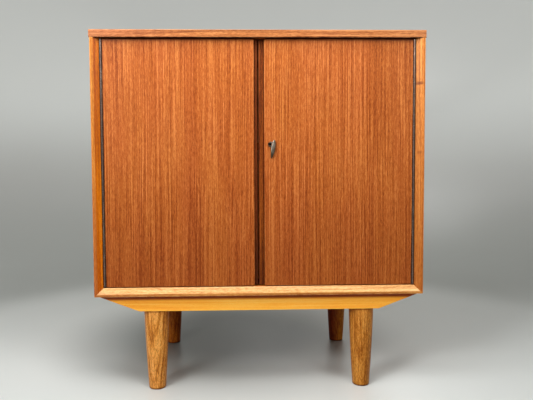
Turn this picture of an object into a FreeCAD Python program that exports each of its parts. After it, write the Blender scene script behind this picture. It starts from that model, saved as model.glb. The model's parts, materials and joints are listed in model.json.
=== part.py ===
import FreeCAD, Part
import os
from collections import namedtuple

from FreeCAD import Placement, Rotation, Vector

# A two-door record cabinet on a low timber base with four turned legs.
# Millimetres. X runs from left to right, Y from front to back and Z up from the floor.
# The origin is on the floor, under the middle of the cabinet.

# ---- carcass
cabinet_width = 800.0  # over the two sides
cabinet_depth = 430.0
carcass_height = 638.0  # underside of the bottom board to the upper surface
top_thickness = 18.0
side_thickness = 20.0
bottom_thickness = 20.0
top_overhang = 2.0  # past each side
lipping_depth = 12.0  # solid strip along each front edge
lipping_flat = 5.5  # flat left at the front of a bevelled strip
bevel_depth = 10.0
arris = 0.8  # rounding of the exposed edges
back_thickness = 6.0
back_rebate = 9.0  # how far the back laps onto each board
back_fit = 0.3

# ---- interior
record_bay_height = 335.0
shelf_thickness = 18.0
shelf_setback = 30.0  # shelf front, behind the doors' inner faces
shelf_back_gap = 1.0
divider_count = 5
divider_thickness = 4.0
divider_depth = 325.0
divider_scallop = 38.0  # how deep the front edge curves in
divider_horn = 45.0  # straight front edge above and below the curve
divider_fit = 0.2
groove_depth = 4.0
stop_width = 60.0
stop_depth = 14.0
stop_height = 14.0
stop_offset = 180.0  # from the middle of the cabinet
stop_gap = 0.4

# ---- doors
door_setback = 10.0  # door faces behind the carcass front
door_thickness = 19.0
door_gap_top = 2.5
door_gap_bottom = 2.5
recess_half_width = 12.5  # half of the finger recess between the door faces
left_lip_width = 8.5
lip_gap = 2.5
lip_setback = 11.0  # lip faces behind the door faces
grip_radius = 4.0  # hollow behind each meeting edge, for the fingertips

# ---- piano hinges
knuckle_radius = 3.0
knuckle_pitch = 28.0  # about this; the count comes out odd
knuckle_gap = 0.3
hinge_clearance = 0.3  # knuckles to the wood beside them
hinge_pin_radius = 1.1
hinge_leaf_thickness = 1.0
hinge_leaf_width = 17.0
hinge_leaf_start = 0.8
hinge_screw_count = 9
hinge_screw_inset = 22.0
running_fit = 0.05

# ---- fasteners
ScrewSize = namedtuple("ScrewSize", "head_radius shank_radius length")
hinge_screw = ScrewSize(2.9, 1.5, 14.0)
back_screw = ScrewSize(3.2, 1.5, 20.0)
lock_screw = ScrewSize(2.6, 1.2, 10.0)
keeper_screw = ScrewSize(2.2, 1.1, 8.0)
base_screw = ScrewSize(4.2, 2.2, 38.0)
screw_fit = 0.05
screw_slot_width = 0.8
screw_slot_depth = 0.8
back_screw_inset = 60.0  # first screw from the back's upper and lower edges
back_screw_rows = 4
dowel_radius = 4.0
dowel_fit = 0.05
dowel_end_gap = 0.5
dowel_edge_inset = 45.0  # first dowel from the front and rear edges
dowel_in_end = 20.0  # depth of a dowel in a board's end
dowel_in_side = 12.0  # depth of a dowel in a side's inner face
dowel_in_top = 10.0
carcass_dowel_rows = 4
shelf_dowel_rows = 3

# ---- lock and key
lock_from_recess = 12.8  # lock axis to the right door's meeting edge
lock_height = 606.0  # lock axis above the floor
bush_radius = 4.3
bush_setback = 0.3
barrel_radius = 3.5
barrel_setback = 0.8
stem_radius = 1.75
stem_depth = 16.0  # how far the key goes in
bit_reach = 2.9
bit_width = 1.2
bit_length = 6.0
bit_clearance = 0.1
crank_offset = 5.0  # crank pin to lock axis
crank_pin_radius = 1.5
crank_disc_radius = 7.0
crank_disc_thickness = 2.0
crank_pin_height = 2.8
lock_case_depth = 10.0
lock_case_wall = 1.2
lock_case_edge = 2.0  # case end, right of the middle of the cabinet
lock_case_tail = 15.5  # case past the lock axis
lock_flange_half_height = 20.0
lock_flange_thickness = 1.5
lock_screw_inset = 4.4  # screws from the door's meeting edge and from the case's far end
bolt_half_height = 10.0
bolt_thickness = 3.0
bolt_tongue_half_height = 6.0
bolt_head_half_length = 8.0
bolt_clearance = 0.3
crank_play = 1.2  # slot to crank pin, each side
lock_keeper_width = 20.0
lock_keeper_half_height = 16.0
lock_keeper_box_half_height = 9.0
lock_keeper_box_width = 12.0
lock_keeper_depth = 9.0
lock_keeper_wall = 1.5
lock_keeper_room = 0.9  # pocket to bolt, all round
lock_keeper_screw_inset = 3.5
lock_keeper_screw_rise = 11.2  # screws above and below the lock's axis
key_tilt = 10.9  # degrees, top of the bow to the right
key_standoff = 5.0  # hinge axis of the bow in front of the door face
key_eye_radius = 3.4
key_eye_half_length = 2.5
key_pin_radius = 1.0
key_bow_thickness = 2.6
key_bow_round = 0.78
key_web_thickness = 2.1  # bridge from the bow to each lug
key_bow_half_width = 5.5
key_bow_offset = 8.9  # middle of the bow to its hinge axis
key_bow_up = 14.3
key_bow_down = 31.3
key_bow_belly = -4.0  # height of its widest place
key_lug_radius = 2.3
key_lug_length = 3.8
key_lug_gap = 0.2
key_eye_clearance = 0.4
press_fit = 0.02

# ---- slide bolts on the left door
slide_bolt_offset = 40.0  # from the middle of the cabinet
slide_bolt_radius = 3.0
slide_bolt_length = 62.0
slide_bolt_throw = 12.0
slide_bolt_standoff = 4.5
slide_bolt_rest = 0.5  # bolt end inside the door's edge
slide_bolt_chamfer = 1.0
slide_case_half_width = 9.0
slide_case_length = 50.0
slide_case_inset = 8.0
slide_plate_thickness = 1.2
slide_screw_offset = 6.1  # case screws from the bolt's axis
slide_loop_length = 9.0
slide_loop_half_width = 5.0
slide_loop_depth = 9.0
slide_knob_radius = 2.2
slide_knob_length = 8.0
slide_knob_round = 0.7
slide_fit = 0.1
keeper_plate_half_length = 15.0
keeper_plate_half_width = 6.5
keeper_plate_thickness = 1.2
keeper_screw_offset = 10.5
keeper_hole_radius = 3.6
keeper_hole_spare = 1.5  # hole past the end of the bolt's travel

# ---- base and legs
leg_length = 200.0
leg_top_radius = 30.75
leg_middle_radius = 26.6
leg_middle_height = 98.0
leg_foot_radius = 20.75
leg_foot_round = 2.0
leg_half_spacing = 257.0
rail_height = 39.0
rail_depth = 62.0
rail_setback = 12.0  # behind the carcass front, and in front of its back
rail_end_setback = 3.0
rail_taper = 103.5  # length of each tapered end
cross_rail_width = 30.0
tenon_thickness = 10.0
tenon_height = 25.0
tenon_length = 20.0
hanger_radius = 4.0
hanger_in_leg = 35.0
hanger_in_rail = 24.0
insert_radius = 6.0
insert_length = 20.0
base_screw_sink = 15.0
base_screw_places = (-190.0, -65.0, 65.0, 190.0)

# ---- places worked out from the sizes above
front = -cabinet_depth / 2
back = cabinet_depth / 2
bottom_low = leg_length + rail_height
bottom_high = bottom_low + bottom_thickness
top_high = bottom_low + carcass_height
top_low = top_high - top_thickness
outer_x = cabinet_width / 2
inner_x = outer_x - side_thickness
back_face = back - back_thickness
shelf_low = bottom_high + record_bay_height
shelf_high = shelf_low + shelf_thickness

door_face = front + door_setback
door_back = door_face + door_thickness
door_low = bottom_high + door_gap_bottom
door_high = top_low - door_gap_top
door_height = door_high - door_low
shelf_front = door_back + shelf_setback

hinge_offset = knuckle_radius + hinge_clearance
hinge_x = inner_x - hinge_offset
door_edge_x = hinge_x - hinge_offset
left_lip_tip = -recess_half_width + left_lip_width
right_lip_tip = left_lip_tip + lip_gap

lock_x = recess_half_width + lock_from_recess
lock_axis = Vector(lock_x, door_face, lock_height)
bolt_slot_half_width = crank_pin_radius + crank_play
bolt_slot_half_height = crank_offset + crank_pin_radius + bolt_clearance
slide_bolt_y = door_back + slide_bolt_standoff

RIGHT = Vector(1, 0, 0)
FORWARD = Vector(0, -1, 0)
BACKWARD = Vector(0, 1, 0)
UP = Vector(0, 0, 1)
DOWN = Vector(0, 0, -1)


def box(x_range, y_range, z_range):
    """A block between two places on each axis, given in either order."""
    lows, highs = zip(*(sorted(r) for r in (x_range, y_range, z_range)))
    spans = [high - low for low, high in zip(lows, highs)]
    return Part.makeBox(*spans, Vector(*lows))


def rod(start, direction, radius, length):
    """A round bar from a point along a direction."""
    return Part.makeCylinder(radius, length, start, direction)


def prism(outline, travel):
    """A flat outline of points, moved along a vector."""
    return Part.Face(Part.makePolygon(list(outline) + [outline[0]])).extrude(travel)


def mirrored(shape):
    """The same shape on the other side of the middle of the cabinet."""
    return shape.mirror(Vector(0, 0, 0), RIGHT)


def rounded(shape, radius, chosen):
    """The shape with the edges that a test picks rounded off."""
    edges = [edge for edge in shape.Edges if chosen(edge.BoundBox)]
    return shape.makeFillet(radius, edges) if edges else shape


def spaced(low, high, count):
    """Evenly spaced places from low to high, both included."""
    return [low + (high - low) * i / (count - 1) for i in range(count)]


def turned(profile):
    """A solid turned about Z from (radius, height) points that start and end on the axis."""
    points = [Vector(radius, 0, height) for radius, height in profile]
    face = Part.Face(Part.makePolygon(points + [points[0]]))
    return face.revolve(Vector(0, 0, 0), UP, 360)


class Assembly:
    """Named pieces, each with one or more solids, and the holes to be cut in them."""

    def __init__(self):
        self.solids = {}
        self.holes = {}

    def add(self, node, *solids):
        self.solids.setdefault(node, []).extend(solids)

    def cut(self, node, *tools):
        self.holes.setdefault(node, []).extend(tools)

    def finished(self, node):
        """The node's solids with their holes cut."""
        done = []
        for solid in self.solids[node]:
            reach = solid.BoundBox
            near = [tool for tool in self.holes.get(node, []) if tool.BoundBox.intersect(reach)]
            shape = solid.cut(near) if near else solid
            done.extend(shape.Solids)
        return done

    def write(self, folder):
        os.makedirs(folder, exist_ok=True)
        for node in self.solids:
            solids = self.finished(node)
            shape = solids[0] if len(solids) == 1 else Part.makeCompound(solids)
            shape.exportStep(os.path.join(folder, node + ".step"))
            print(f"{node}: {len(solids)} solids, {shape.Volume / 1000:.1f} cm3")


# ---------------------------------------------------------------- fasteners


def screw_blank(size, grow):
    """A countersunk screw's outer shape, head up at the origin, grown by a clearance."""
    head = size.head_radius + grow
    shank = size.shank_radius + grow
    neck = size.head_radius - size.shank_radius
    tip = size.shank_radius
    end = size.length + grow
    profile = [(0, 0), (head, 0), (shank, -neck), (shank, -end + tip), (0, -end)]
    return turned(profile)


def placed(shape, point, direction):
    """A shape that points down at the origin, moved to point along a direction."""
    copy = shape.copy()
    copy.Placement = Placement(point, Rotation(DOWN, direction))
    return copy


def drive_screw(assembly, node, size, head_centre, direction, boards):
    """Add one slotted screw, and cut its hole in every board that it goes through."""
    slot = box(
        (-size.head_radius, size.head_radius),
        (-screw_slot_width / 2, screw_slot_width / 2),
        (-screw_slot_depth, screw_slot_depth),
    )
    assembly.add(node, placed(screw_blank(size, 0).cut(slot), head_centre, direction))
    hole = placed(screw_blank(size, screw_fit), head_centre, direction)
    for board in boards:
        assembly.cut(board, hole)


def drive_dowel(assembly, node, joint, direction, behind, ahead, boards):
    """Add one dowel across a joint face, and cut its holes."""
    start = joint - direction * behind
    assembly.add(node, rod(start, direction, dowel_radius, behind + ahead))
    hole_start = start - direction * dowel_end_gap
    hole_length = behind + ahead + 2 * dowel_end_gap
    hole = rod(hole_start, direction, dowel_radius + dowel_fit, hole_length)
    for board in boards:
        assembly.cut(board, hole)


# ---------------------------------------------------------------- carcass


def build_boards(assembly):
    """The top, the sides and the bottom, behind their front strips."""
    board_front = front + lipping_depth
    top_half = outer_x + top_overhang
    top = box((-top_half, top_half), (board_front, back), (top_low, top_high))
    assembly.add("top_panel", rounded(top, arris, is_outer_top_edge))
    right = box((inner_x, outer_x), (board_front, back), (bottom_low, top_low))
    assembly.add("right_side_panel", right)
    assembly.add("left_side_panel", mirrored(right))
    bottom = box((-inner_x, inner_x), (board_front, back), (bottom_low, bottom_high))
    assembly.add("bottom_panel", bottom)


def is_outer_top_edge(bounds):
    """Whether an edge runs round the upper surface, apart from the glued front."""
    level = bounds.ZMin > top_high - arris
    return level and bounds.YMax > front + 2 * lipping_depth


def build_lippings(assembly):
    """Solid strips on the front edges. The sides' and the bottom's are bevelled and mitred."""
    board_front = front + lipping_depth
    top_half = outer_x + top_overhang
    top = box((-top_half, top_half), (front, board_front), (top_low, top_high))
    top = rounded(top, arris, is_outer_front_edge)
    assembly.add("top_front_lipping", top)

    section = [(inner_x, board_front), (inner_x, front + bevel_depth)]
    section += [(outer_x - lipping_flat, front), (outer_x, front), (outer_x, board_front)]
    right = prism([Vector(x, y, bottom_low) for x, y in section], UP * (top_low - bottom_low))
    under_mitre = [(inner_x, bottom_low), (outer_x, bottom_low), (inner_x, bottom_high)]
    below = prism([Vector(x, front, z) for x, z in under_mitre], BACKWARD * lipping_depth)
    right = right.cut(below)
    assembly.add("right_front_lipping", right)
    assembly.add("left_front_lipping", mirrored(right))

    section = [(board_front, bottom_high), (front + bevel_depth, bottom_high)]
    section += [(front, bottom_low + lipping_flat), (front, bottom_low), (board_front, bottom_low)]
    bottom = prism([Vector(-outer_x, y, z) for y, z in section], RIGHT * cabinet_width)
    over_mitre = [(inner_x, bottom_high), (outer_x, bottom_low), (outer_x, bottom_high)]
    above = prism([Vector(x, front, z) for x, z in over_mitre], BACKWARD * lipping_depth)
    assembly.add("bottom_front_lipping", bottom.cut([above, mirrored(above)]))


def is_outer_front_edge(bounds):
    """Whether an edge of the top's strip shows, at its front, its ends or above."""
    behind = bounds.YMin > front + lipping_depth - arris
    under = bounds.ZMax < top_low + arris and bounds.YMin > front - arris
    return not behind and not (under and bounds.YMax > front + arris)


def build_back(assembly):
    """A thin back in a rebate round the boards, with screws."""
    half = inner_x + back_rebate
    low = bottom_high - back_rebate
    high = top_low + back_rebate
    assembly.add("back_panel", box((-half, half), (back_face, back), (low, high)))
    rebate = box(
        (-half - back_fit, half + back_fit),
        (back_face, back),
        (low - back_fit, high + back_fit),
    )
    for board in ("top_panel", "bottom_panel", "left_side_panel", "right_side_panel"):
        assembly.cut(board, rebate)

    inset = back_rebate / 2
    ends = ((low + inset, "bottom_panel"), (high - inset, "top_panel"))
    sides = ((inset - half, "left_side_panel"), (half - inset, "right_side_panel"))
    bay = 2 * inner_x / (divider_count + 1)
    across = [-inner_x + bay * (i + 0.5) for i in range(divider_count + 1)]
    upward = spaced(low + back_screw_inset, high - back_screw_inset, back_screw_rows)
    places = [(x, z, board) for x in across for z, board in ends]
    places += [(x, z, board) for z in upward for x, board in sides]
    for x, z, board in places:
        head = Vector(x, back, z)
        drive_screw(assembly, "back_panel_screws", back_screw, head, FORWARD, ("back_panel", board))


def build_shelf(assembly):
    """A fixed shelf over the record bay."""
    depth = (shelf_front, back_face - shelf_back_gap)
    assembly.add("middle_shelf", box((-inner_x, inner_x), depth, (shelf_low, shelf_high)))


def build_dividers(assembly):
    """Thin upright dividers in grooves in the bottom and under the shelf."""
    rear = back_face - shelf_back_gap
    near = rear - divider_depth
    low = bottom_high - groove_depth
    high = shelf_low + groove_depth - 2 * divider_fit
    upper_horn = shelf_low - divider_horn
    lower_horn = bottom_high + divider_horn
    middle = (upper_horn + lower_horn) / 2

    def corner(y, z):
        return Vector(0, y, z)

    above, below = corner(near, upper_horn), corner(near, lower_horn)
    curve = Part.Arc(above, corner(near + divider_scallop, middle), below)
    straight = [below, corner(near, low), corner(rear, low)]
    straight += [corner(rear, high), corner(near, high), above]
    outline = Part.Wire([curve.toShape()] + Part.makePolygon(straight).Edges)
    blank = Part.Face(outline).extrude(RIGHT * divider_thickness)
    bay = 2 * inner_x / (divider_count + 1)
    for i in range(divider_count):
        left_face = -inner_x + bay * (i + 1) - divider_thickness / 2
        divider = blank.copy()
        divider.translate(RIGHT * left_face)
        assembly.add("record_dividers", divider)
        width = (left_face - divider_fit, left_face + divider_thickness + divider_fit)
        length = (near - divider_fit, back_face)
        assembly.cut("bottom_panel", box(width, length, (low, bottom_high)))
        assembly.cut("middle_shelf", box(width, length, (shelf_low, shelf_low + groove_depth)))


def build_dowels(assembly):
    """Dowels from the sides into the top, the bottom and the shelf."""
    side_middle = inner_x + side_thickness / 2
    rear = back - dowel_edge_inset
    depths = spaced(front + dowel_edge_inset, rear, carcass_dowel_rows)
    shelf_depths = spaced(shelf_front + dowel_edge_inset, rear, shelf_dowel_rows)
    for side, board in ((-1, "left_side_panel"), (1, "right_side_panel")):
        outward = RIGHT * side
        into_side = (outward, dowel_in_end, dowel_in_side)
        for y in depths:
            joint = Vector(side * side_middle, y, top_low)
            lengths = (dowel_in_end, dowel_in_top)
            drive_dowel(assembly, "carcass_dowels", joint, UP, *lengths, (board, "top_panel"))
            joint = Vector(side * inner_x, y, (bottom_low + bottom_high) / 2)
            drive_dowel(assembly, "carcass_dowels", joint, *into_side, (board, "bottom_panel"))
        for y in shelf_depths:
            joint = Vector(side * inner_x, y, (shelf_low + shelf_high) / 2)
            drive_dowel(assembly, "shelf_dowels", joint, *into_side, (board, "middle_shelf"))


def build_door_stops(assembly):
    """A small block for each door to close against, under the top."""
    for side in (-1, 1):
        middle = side * stop_offset
        near = door_back + stop_gap
        low = top_low - stop_height
        block = box(
            (middle - stop_width / 2, middle + stop_width / 2),
            (near, near + stop_depth),
            (low, top_low),
        )
        assembly.add("door_stops", block)
        boards = ("door_stops", "top_panel")
        for x in (middle - stop_width / 4, middle + stop_width / 4):
            head = Vector(x, near + stop_depth / 2, low)
            drive_screw(assembly, "door_stop_screws", back_screw, head, UP, boards)


# ---------------------------------------------------------------- hinges


def build_hinges(assembly):
    """Full-height piano hinges: two leaves with alternate knuckles on one pin."""
    count = 2 * round(door_height / knuckle_pitch / 2) + 1
    pitch = door_height / count
    axis_foot = Vector(hinge_x, door_face, door_low)

    def knuckles(first, radius, gap):
        """Every second knuckle, shortened by a gap at each end."""
        return [
            rod(axis_foot + UP * (i * pitch + gap), UP, radius, pitch - 2 * gap)
            for i in range(first, count, 2)
        ]

    def leaf(plate, own, other):
        cleared = plate.cut(knuckles(other, knuckle_radius + hinge_clearance, -knuckle_gap))
        whole = cleared.fuse(knuckles(own, knuckle_radius, knuckle_gap / 2))
        bore = rod(axis_foot, UP, hinge_pin_radius + running_fit, door_height)
        return whole.cut(bore).removeSplitter()

    depth = (door_face + hinge_leaf_start, door_face + hinge_leaf_width)
    height = (door_low, door_high)
    frame_leaf = leaf(box((inner_x - hinge_leaf_thickness, inner_x), depth, height), 0, 1)
    door_leaf = leaf(box((door_edge_x, door_edge_x + hinge_leaf_thickness), depth, height), 1, 0)
    pin = rod(axis_foot, UP, hinge_pin_radius, door_height)
    for name, side, turn in (("left", -1, mirrored), ("right", 1, lambda shape: shape)):
        assembly.add(f"{name}_hinge_frame_leaf", turn(frame_leaf))
        assembly.add(f"{name}_hinge_door_leaf", turn(door_leaf))
        assembly.add(f"{name}_hinge_pin", turn(pin))
        screw_y = door_face + (hinge_leaf_width + knuckle_radius) / 2
        outward = RIGHT * side
        first, last = door_low + hinge_screw_inset, door_high - hinge_screw_inset
        for z in spaced(first, last, hinge_screw_count):
            head = Vector(side * (inner_x - hinge_leaf_thickness), screw_y, z)
            boards = (f"{name}_hinge_frame_leaf", f"{name}_side_panel")
            drive_screw(assembly, f"{name}_hinge_frame_screws", hinge_screw, head, outward, boards)
            head = Vector(side * (door_edge_x + hinge_leaf_thickness), screw_y, z)
            boards = (f"{name}_hinge_door_leaf", f"{name}_door_panel")
            drive_screw(assembly, f"{name}_hinge_door_screws", hinge_screw, head, -outward, boards)


# ---------------------------------------------------------------- doors


def build_doors(assembly):
    """Two flat doors with a hollowed meeting edge and a set-back strip on it."""
    for name, side, tip in (("left", -1, left_lip_tip), ("right", 1, right_lip_tip)):
        edge = side * recess_half_width
        panel = box((side * door_edge_x, edge), (door_face, door_back), (door_low, door_high))
        grip_middle = Vector(edge, door_face + lip_setback - grip_radius, door_low)
        assembly.add(f"{name}_door_panel", panel.cut(rod(grip_middle, UP, grip_radius, door_height)))
        lip = box((edge, tip), (door_face + lip_setback, door_back), (door_low, door_high))
        lip = rounded(lip, arris, lambda bounds: is_upright_at(bounds, tip))
        assembly.add(f"{name}_door_lip", lip)


def is_upright_at(bounds, x):
    """Whether an edge runs up at a place along X."""
    return bounds.ZLength > arris and abs(bounds.XMin - x) < arris / 2


def build_slide_bolts(assembly):
    """A slide bolt at the top and at the bottom of the left door, with its keeper."""
    ends = (
        ("upper", UP, door_high, top_low, "top_panel"),
        ("lower", DOWN, door_low, bottom_high, "bottom_panel"),
    )
    x = -slide_bolt_offset
    for name, out, door_end, board_face, board in ends:
        bolt_end = Vector(x, slide_bolt_y, door_end) - out * slide_bolt_rest
        bolt_start = bolt_end - out * slide_bolt_length
        bolt = rod(bolt_start, out, slide_bolt_radius, slide_bolt_length)
        bolt = bolt.makeChamfer(slide_bolt_chamfer, bolt.Edges)
        case_end = door_end - out.z * slide_case_inset
        case_start = case_end - out.z * slide_case_length
        knob_at = bolt_start + out * (slide_case_inset + slide_loop_length + slide_knob_radius)
        knob = rod(knob_at, BACKWARD, slide_knob_radius, slide_bolt_radius + slide_knob_length)
        knob = rounded(knob, slide_knob_round, lambda bounds: bounds.YLength < screw_fit)
        assembly.add(f"{name}_bolt", bolt.fuse(knob).removeSplitter())

        case = box(
            (x - slide_case_half_width, x + slide_case_half_width),
            (door_back, door_back + slide_plate_thickness),
            (case_start, case_end),
        )
        loops = [
            box(
                (x - slide_loop_half_width, x + slide_loop_half_width),
                (door_back, door_back + slide_loop_depth),
                (z, z + out.z * slide_loop_length),
            )
            for z in (case_start, case_end - out.z * slide_loop_length)
        ]
        way_start = bolt_start - out * slide_bolt_length
        way = rod(way_start, out, slide_bolt_radius + slide_fit, 3 * slide_bolt_length)
        assembly.add(f"{name}_bolt_case", case.fuse(loops).removeSplitter().cut(way))
        middle = (case_start + case_end) / 2
        for screw_x in (x - slide_screw_offset, x + slide_screw_offset):
            head = Vector(screw_x, door_back + slide_plate_thickness, middle)
            boards = (f"{name}_bolt_case", "left_door_panel")
            drive_screw(assembly, "bolt_case_screws", keeper_screw, head, FORWARD, boards)

        keeper_hole_depth = slide_bolt_throw - slide_bolt_rest + keeper_hole_spare
        hole_at = Vector(x, slide_bolt_y, board_face)
        keeper_hole = rod(hole_at, out, keeper_hole_radius, keeper_hole_depth)
        keeper = box(
            (x - keeper_plate_half_length, x + keeper_plate_half_length),
            (slide_bolt_y - keeper_plate_half_width, slide_bolt_y + keeper_plate_half_width),
            (board_face, board_face + out.z * keeper_plate_thickness),
        )
        assembly.cut(board, keeper, keeper_hole)
        assembly.add(f"{name}_bolt_keeper", keeper.cut(keeper_hole))
        for screw_x in (x - keeper_screw_offset, x + keeper_screw_offset):
            head = Vector(screw_x, slide_bolt_y, board_face)
            boards = (f"{name}_bolt_keeper", board)
            drive_screw(assembly, "bolt_keeper_screws", keeper_screw, head, out, boards)


# ---------------------------------------------------------------- lock and key


def lock_point(right, up, inward):
    """A point by its distances from where the lock's axis meets the door's face."""
    return lock_axis + Vector(right, inward, up)


def build_lock(assembly):
    """A surface lock on the inside of the right door: case, bolt, barrel and bush."""
    bush = rod(lock_point(0, 0, bush_setback), BACKWARD, bush_radius, door_thickness - bush_setback)
    bore = rod(lock_axis, BACKWARD, barrel_radius + running_fit, door_thickness)
    assembly.add("keyhole_bush", bush.cut(bore))
    assembly.cut("right_door_panel", rod(lock_axis, BACKWARD, bush_radius + screw_fit, door_thickness))

    barrel = rod(lock_point(0, 0, barrel_setback), BACKWARD, barrel_radius, door_thickness)
    disc_at = door_thickness + barrel_setback
    disc = rod(lock_point(0, 0, disc_at), BACKWARD, crank_disc_radius, crank_disc_thickness)
    pin_at = disc_at + crank_disc_thickness
    pin = rod(lock_point(crank_offset, 0, pin_at), BACKWARD, crank_pin_radius, crank_pin_height)
    key_way = rod(lock_axis, BACKWARD, stem_radius + running_fit, stem_depth + bit_clearance)
    bit_way = box(
        (lock_x - bit_width / 2 - bit_clearance, lock_x + bit_width / 2 + bit_clearance),
        (door_face, door_face + stem_depth + bit_clearance),
        (lock_height - bit_reach - bit_clearance, lock_height),
    )
    barrel = barrel.fuse([disc, pin]).cut([key_way, tilted(bit_way)])
    assembly.add("lock_barrel", barrel.removeSplitter())

    bolt_near = pin_at + bolt_clearance
    bolt_depths = (door_face + bolt_near, door_face + bolt_near + bolt_thickness)
    slot_x = lock_x + crank_offset
    head_span = (slot_x - bolt_head_half_length, slot_x + bolt_head_half_length)
    head = box(head_span, bolt_depths, (lock_height - bolt_half_height, lock_height + bolt_half_height))
    tongue = box(
        (lock_case_edge + bolt_clearance, slot_x),
        bolt_depths,
        (lock_height - bolt_tongue_half_height, lock_height + bolt_tongue_half_height),
    )
    slot = box(
        (slot_x - bolt_slot_half_width, slot_x + bolt_slot_half_width),
        bolt_depths,
        (lock_height - bolt_slot_half_height, lock_height + bolt_slot_half_height),
    )
    assembly.add("lock_bolt", head.fuse(tongue).cut(slot).removeSplitter())

    case_span = (lock_case_edge, lock_x + lock_case_tail)
    inner = bolt_half_height + bolt_clearance
    outer = inner + lock_case_wall
    shell = box(
        case_span,
        (door_back, door_back + lock_case_depth),
        (lock_height - outer, lock_height + outer),
    )
    flange = box(
        case_span,
        (door_back, door_back + lock_flange_thickness),
        (lock_height - lock_flange_half_height, lock_height + lock_flange_half_height),
    )
    hollow = box(
        (case_span[0] + lock_case_wall, case_span[1] - lock_case_wall),
        (door_back, door_back + lock_case_depth - lock_case_wall),
        (lock_height - inner, lock_height + inner),
    )
    mouth = box(
        (case_span[0], slot_x),
        (bolt_depths[0] - bolt_clearance, bolt_depths[1] + bolt_clearance),
        (
            lock_height - bolt_tongue_half_height - bolt_clearance,
            lock_height + bolt_tongue_half_height + bolt_clearance,
        ),
    )
    assembly.add("lock_case", shell.fuse(flange).cut([hollow, mouth]).removeSplitter())
    screw_level = (outer + lock_flange_half_height) / 2
    for x in (recess_half_width + lock_screw_inset, case_span[1] - lock_screw_inset):
        for z in (lock_height - screw_level, lock_height + screw_level):
            head_centre = Vector(x, door_back + lock_flange_thickness, z)
            boards = ("lock_case", "right_door_panel")
            drive_screw(assembly, "lock_case_screws", lock_screw, head_centre, FORWARD, boards)

    build_lock_keeper(assembly, bolt_depths)


def build_lock_keeper(assembly, bolt_depths):
    """The keeper on the left door that the lock's bolt goes into."""
    edge = left_lip_tip
    plate = box(
        (edge - lock_keeper_width, edge),
        (door_back, door_back + lock_keeper_wall),
        (lock_height - lock_keeper_half_height, lock_height + lock_keeper_half_height),
    )
    housing = box(
        (edge - lock_keeper_box_width, edge),
        (door_back, door_back + lock_keeper_depth),
        (lock_height - lock_keeper_box_half_height, lock_height + lock_keeper_box_half_height),
    )
    half_height = bolt_tongue_half_height + lock_keeper_room
    pocket = box(
        (edge - lock_keeper_box_width + lock_keeper_wall, edge),
        (bolt_depths[0] - lock_keeper_room, bolt_depths[1] + lock_keeper_room),
        (lock_height - half_height, lock_height + half_height),
    )
    assembly.add("lock_keeper", plate.fuse(housing).cut(pocket).removeSplitter())
    screw_x = edge - lock_keeper_width + lock_keeper_screw_inset
    boards = ("lock_keeper", "left_door_panel")
    for z in (lock_height - lock_keeper_screw_rise, lock_height + lock_keeper_screw_rise):
        head = Vector(screw_x, door_back + lock_keeper_wall, z)
        drive_screw(assembly, "lock_keeper_screws", keeper_screw, head, FORWARD, boards)


def tilted(shape):
    """A shape drawn with the key upright, turned to how the key hangs."""
    return shape.rotated(lock_axis, BACKWARD, key_tilt)


def build_key(assembly):
    """A key with a leaf-shaped bow that folds flat on a pin through the stem's eye."""
    eye_centre = lock_point(0, 0, -key_standoff)
    eye = rod(eye_centre - UP * key_eye_half_length, UP, key_eye_radius, 2 * key_eye_half_length)
    eye = rounded(eye, arris, lambda bounds: bounds.ZLength < arris)
    stem = rod(eye_centre, BACKWARD, stem_radius, key_standoff + stem_depth)
    bit = box(
        (lock_x - bit_width / 2, lock_x + bit_width / 2),
        (door_face + stem_depth - bit_length, door_face + stem_depth),
        (lock_height - bit_reach, lock_height),
    )
    pin_half = key_eye_half_length + key_lug_gap + key_lug_length
    bore = rod(eye_centre - UP * pin_half, UP, key_pin_radius + running_fit, 2 * pin_half)
    assembly.add("key_stem", tilted(eye.fuse([stem, bit]).cut(bore).removeSplitter()))

    pin = rod(eye_centre - UP * pin_half, UP, key_pin_radius, 2 * pin_half)
    assembly.add("key_pivot_pin", tilted(pin))

    near = -key_standoff - key_bow_thickness / 2
    tip = lock_point(key_bow_offset, key_bow_up, near)
    foot = lock_point(key_bow_offset, -key_bow_down, near)
    sides = []
    for half_width in (-key_bow_half_width, key_bow_half_width):
        belly = lock_point(key_bow_offset + half_width, key_bow_belly, near)
        curve = Part.BSplineCurve()
        curve.interpolate([tip, belly, foot])
        sides.append(curve.toShape())
    leaf = Part.Face(Part.Wire(sides)).extrude(BACKWARD * key_bow_thickness)
    leaf = leaf.makeFillet(key_bow_round, long_edges(leaf))
    room = rod(
        eye_centre - UP * (key_eye_half_length + key_lug_gap),
        UP,
        key_eye_radius + key_eye_clearance,
        2 * (key_eye_half_length + key_lug_gap),
    )
    leaf = leaf.cut(room)
    for direction in (UP, DOWN):
        lug_start = eye_centre + direction * (key_eye_half_length + key_lug_gap)
        lug = rod(lug_start, direction, key_lug_radius, key_lug_length)
        lug_end = lug_start + direction * key_lug_length
        web = box(
            (lock_x, lock_x + key_bow_offset),
            (eye_centre.y - key_web_thickness / 2, eye_centre.y + key_web_thickness / 2),
            (lug_start.z, lug_end.z),
        )
        leaf = leaf.fuse([lug, web])
    pin_hole = rod(eye_centre - UP * pin_half, UP, key_pin_radius + press_fit, 2 * pin_half)
    assembly.add("key_bow", tilted(leaf.cut(pin_hole).removeSplitter()))


def long_edges(leaf):
    """The edges round the two flat faces of the bow."""
    return [edge for edge in leaf.Edges if edge.BoundBox.YLength < screw_fit]


# ---------------------------------------------------------------- base and legs


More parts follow.
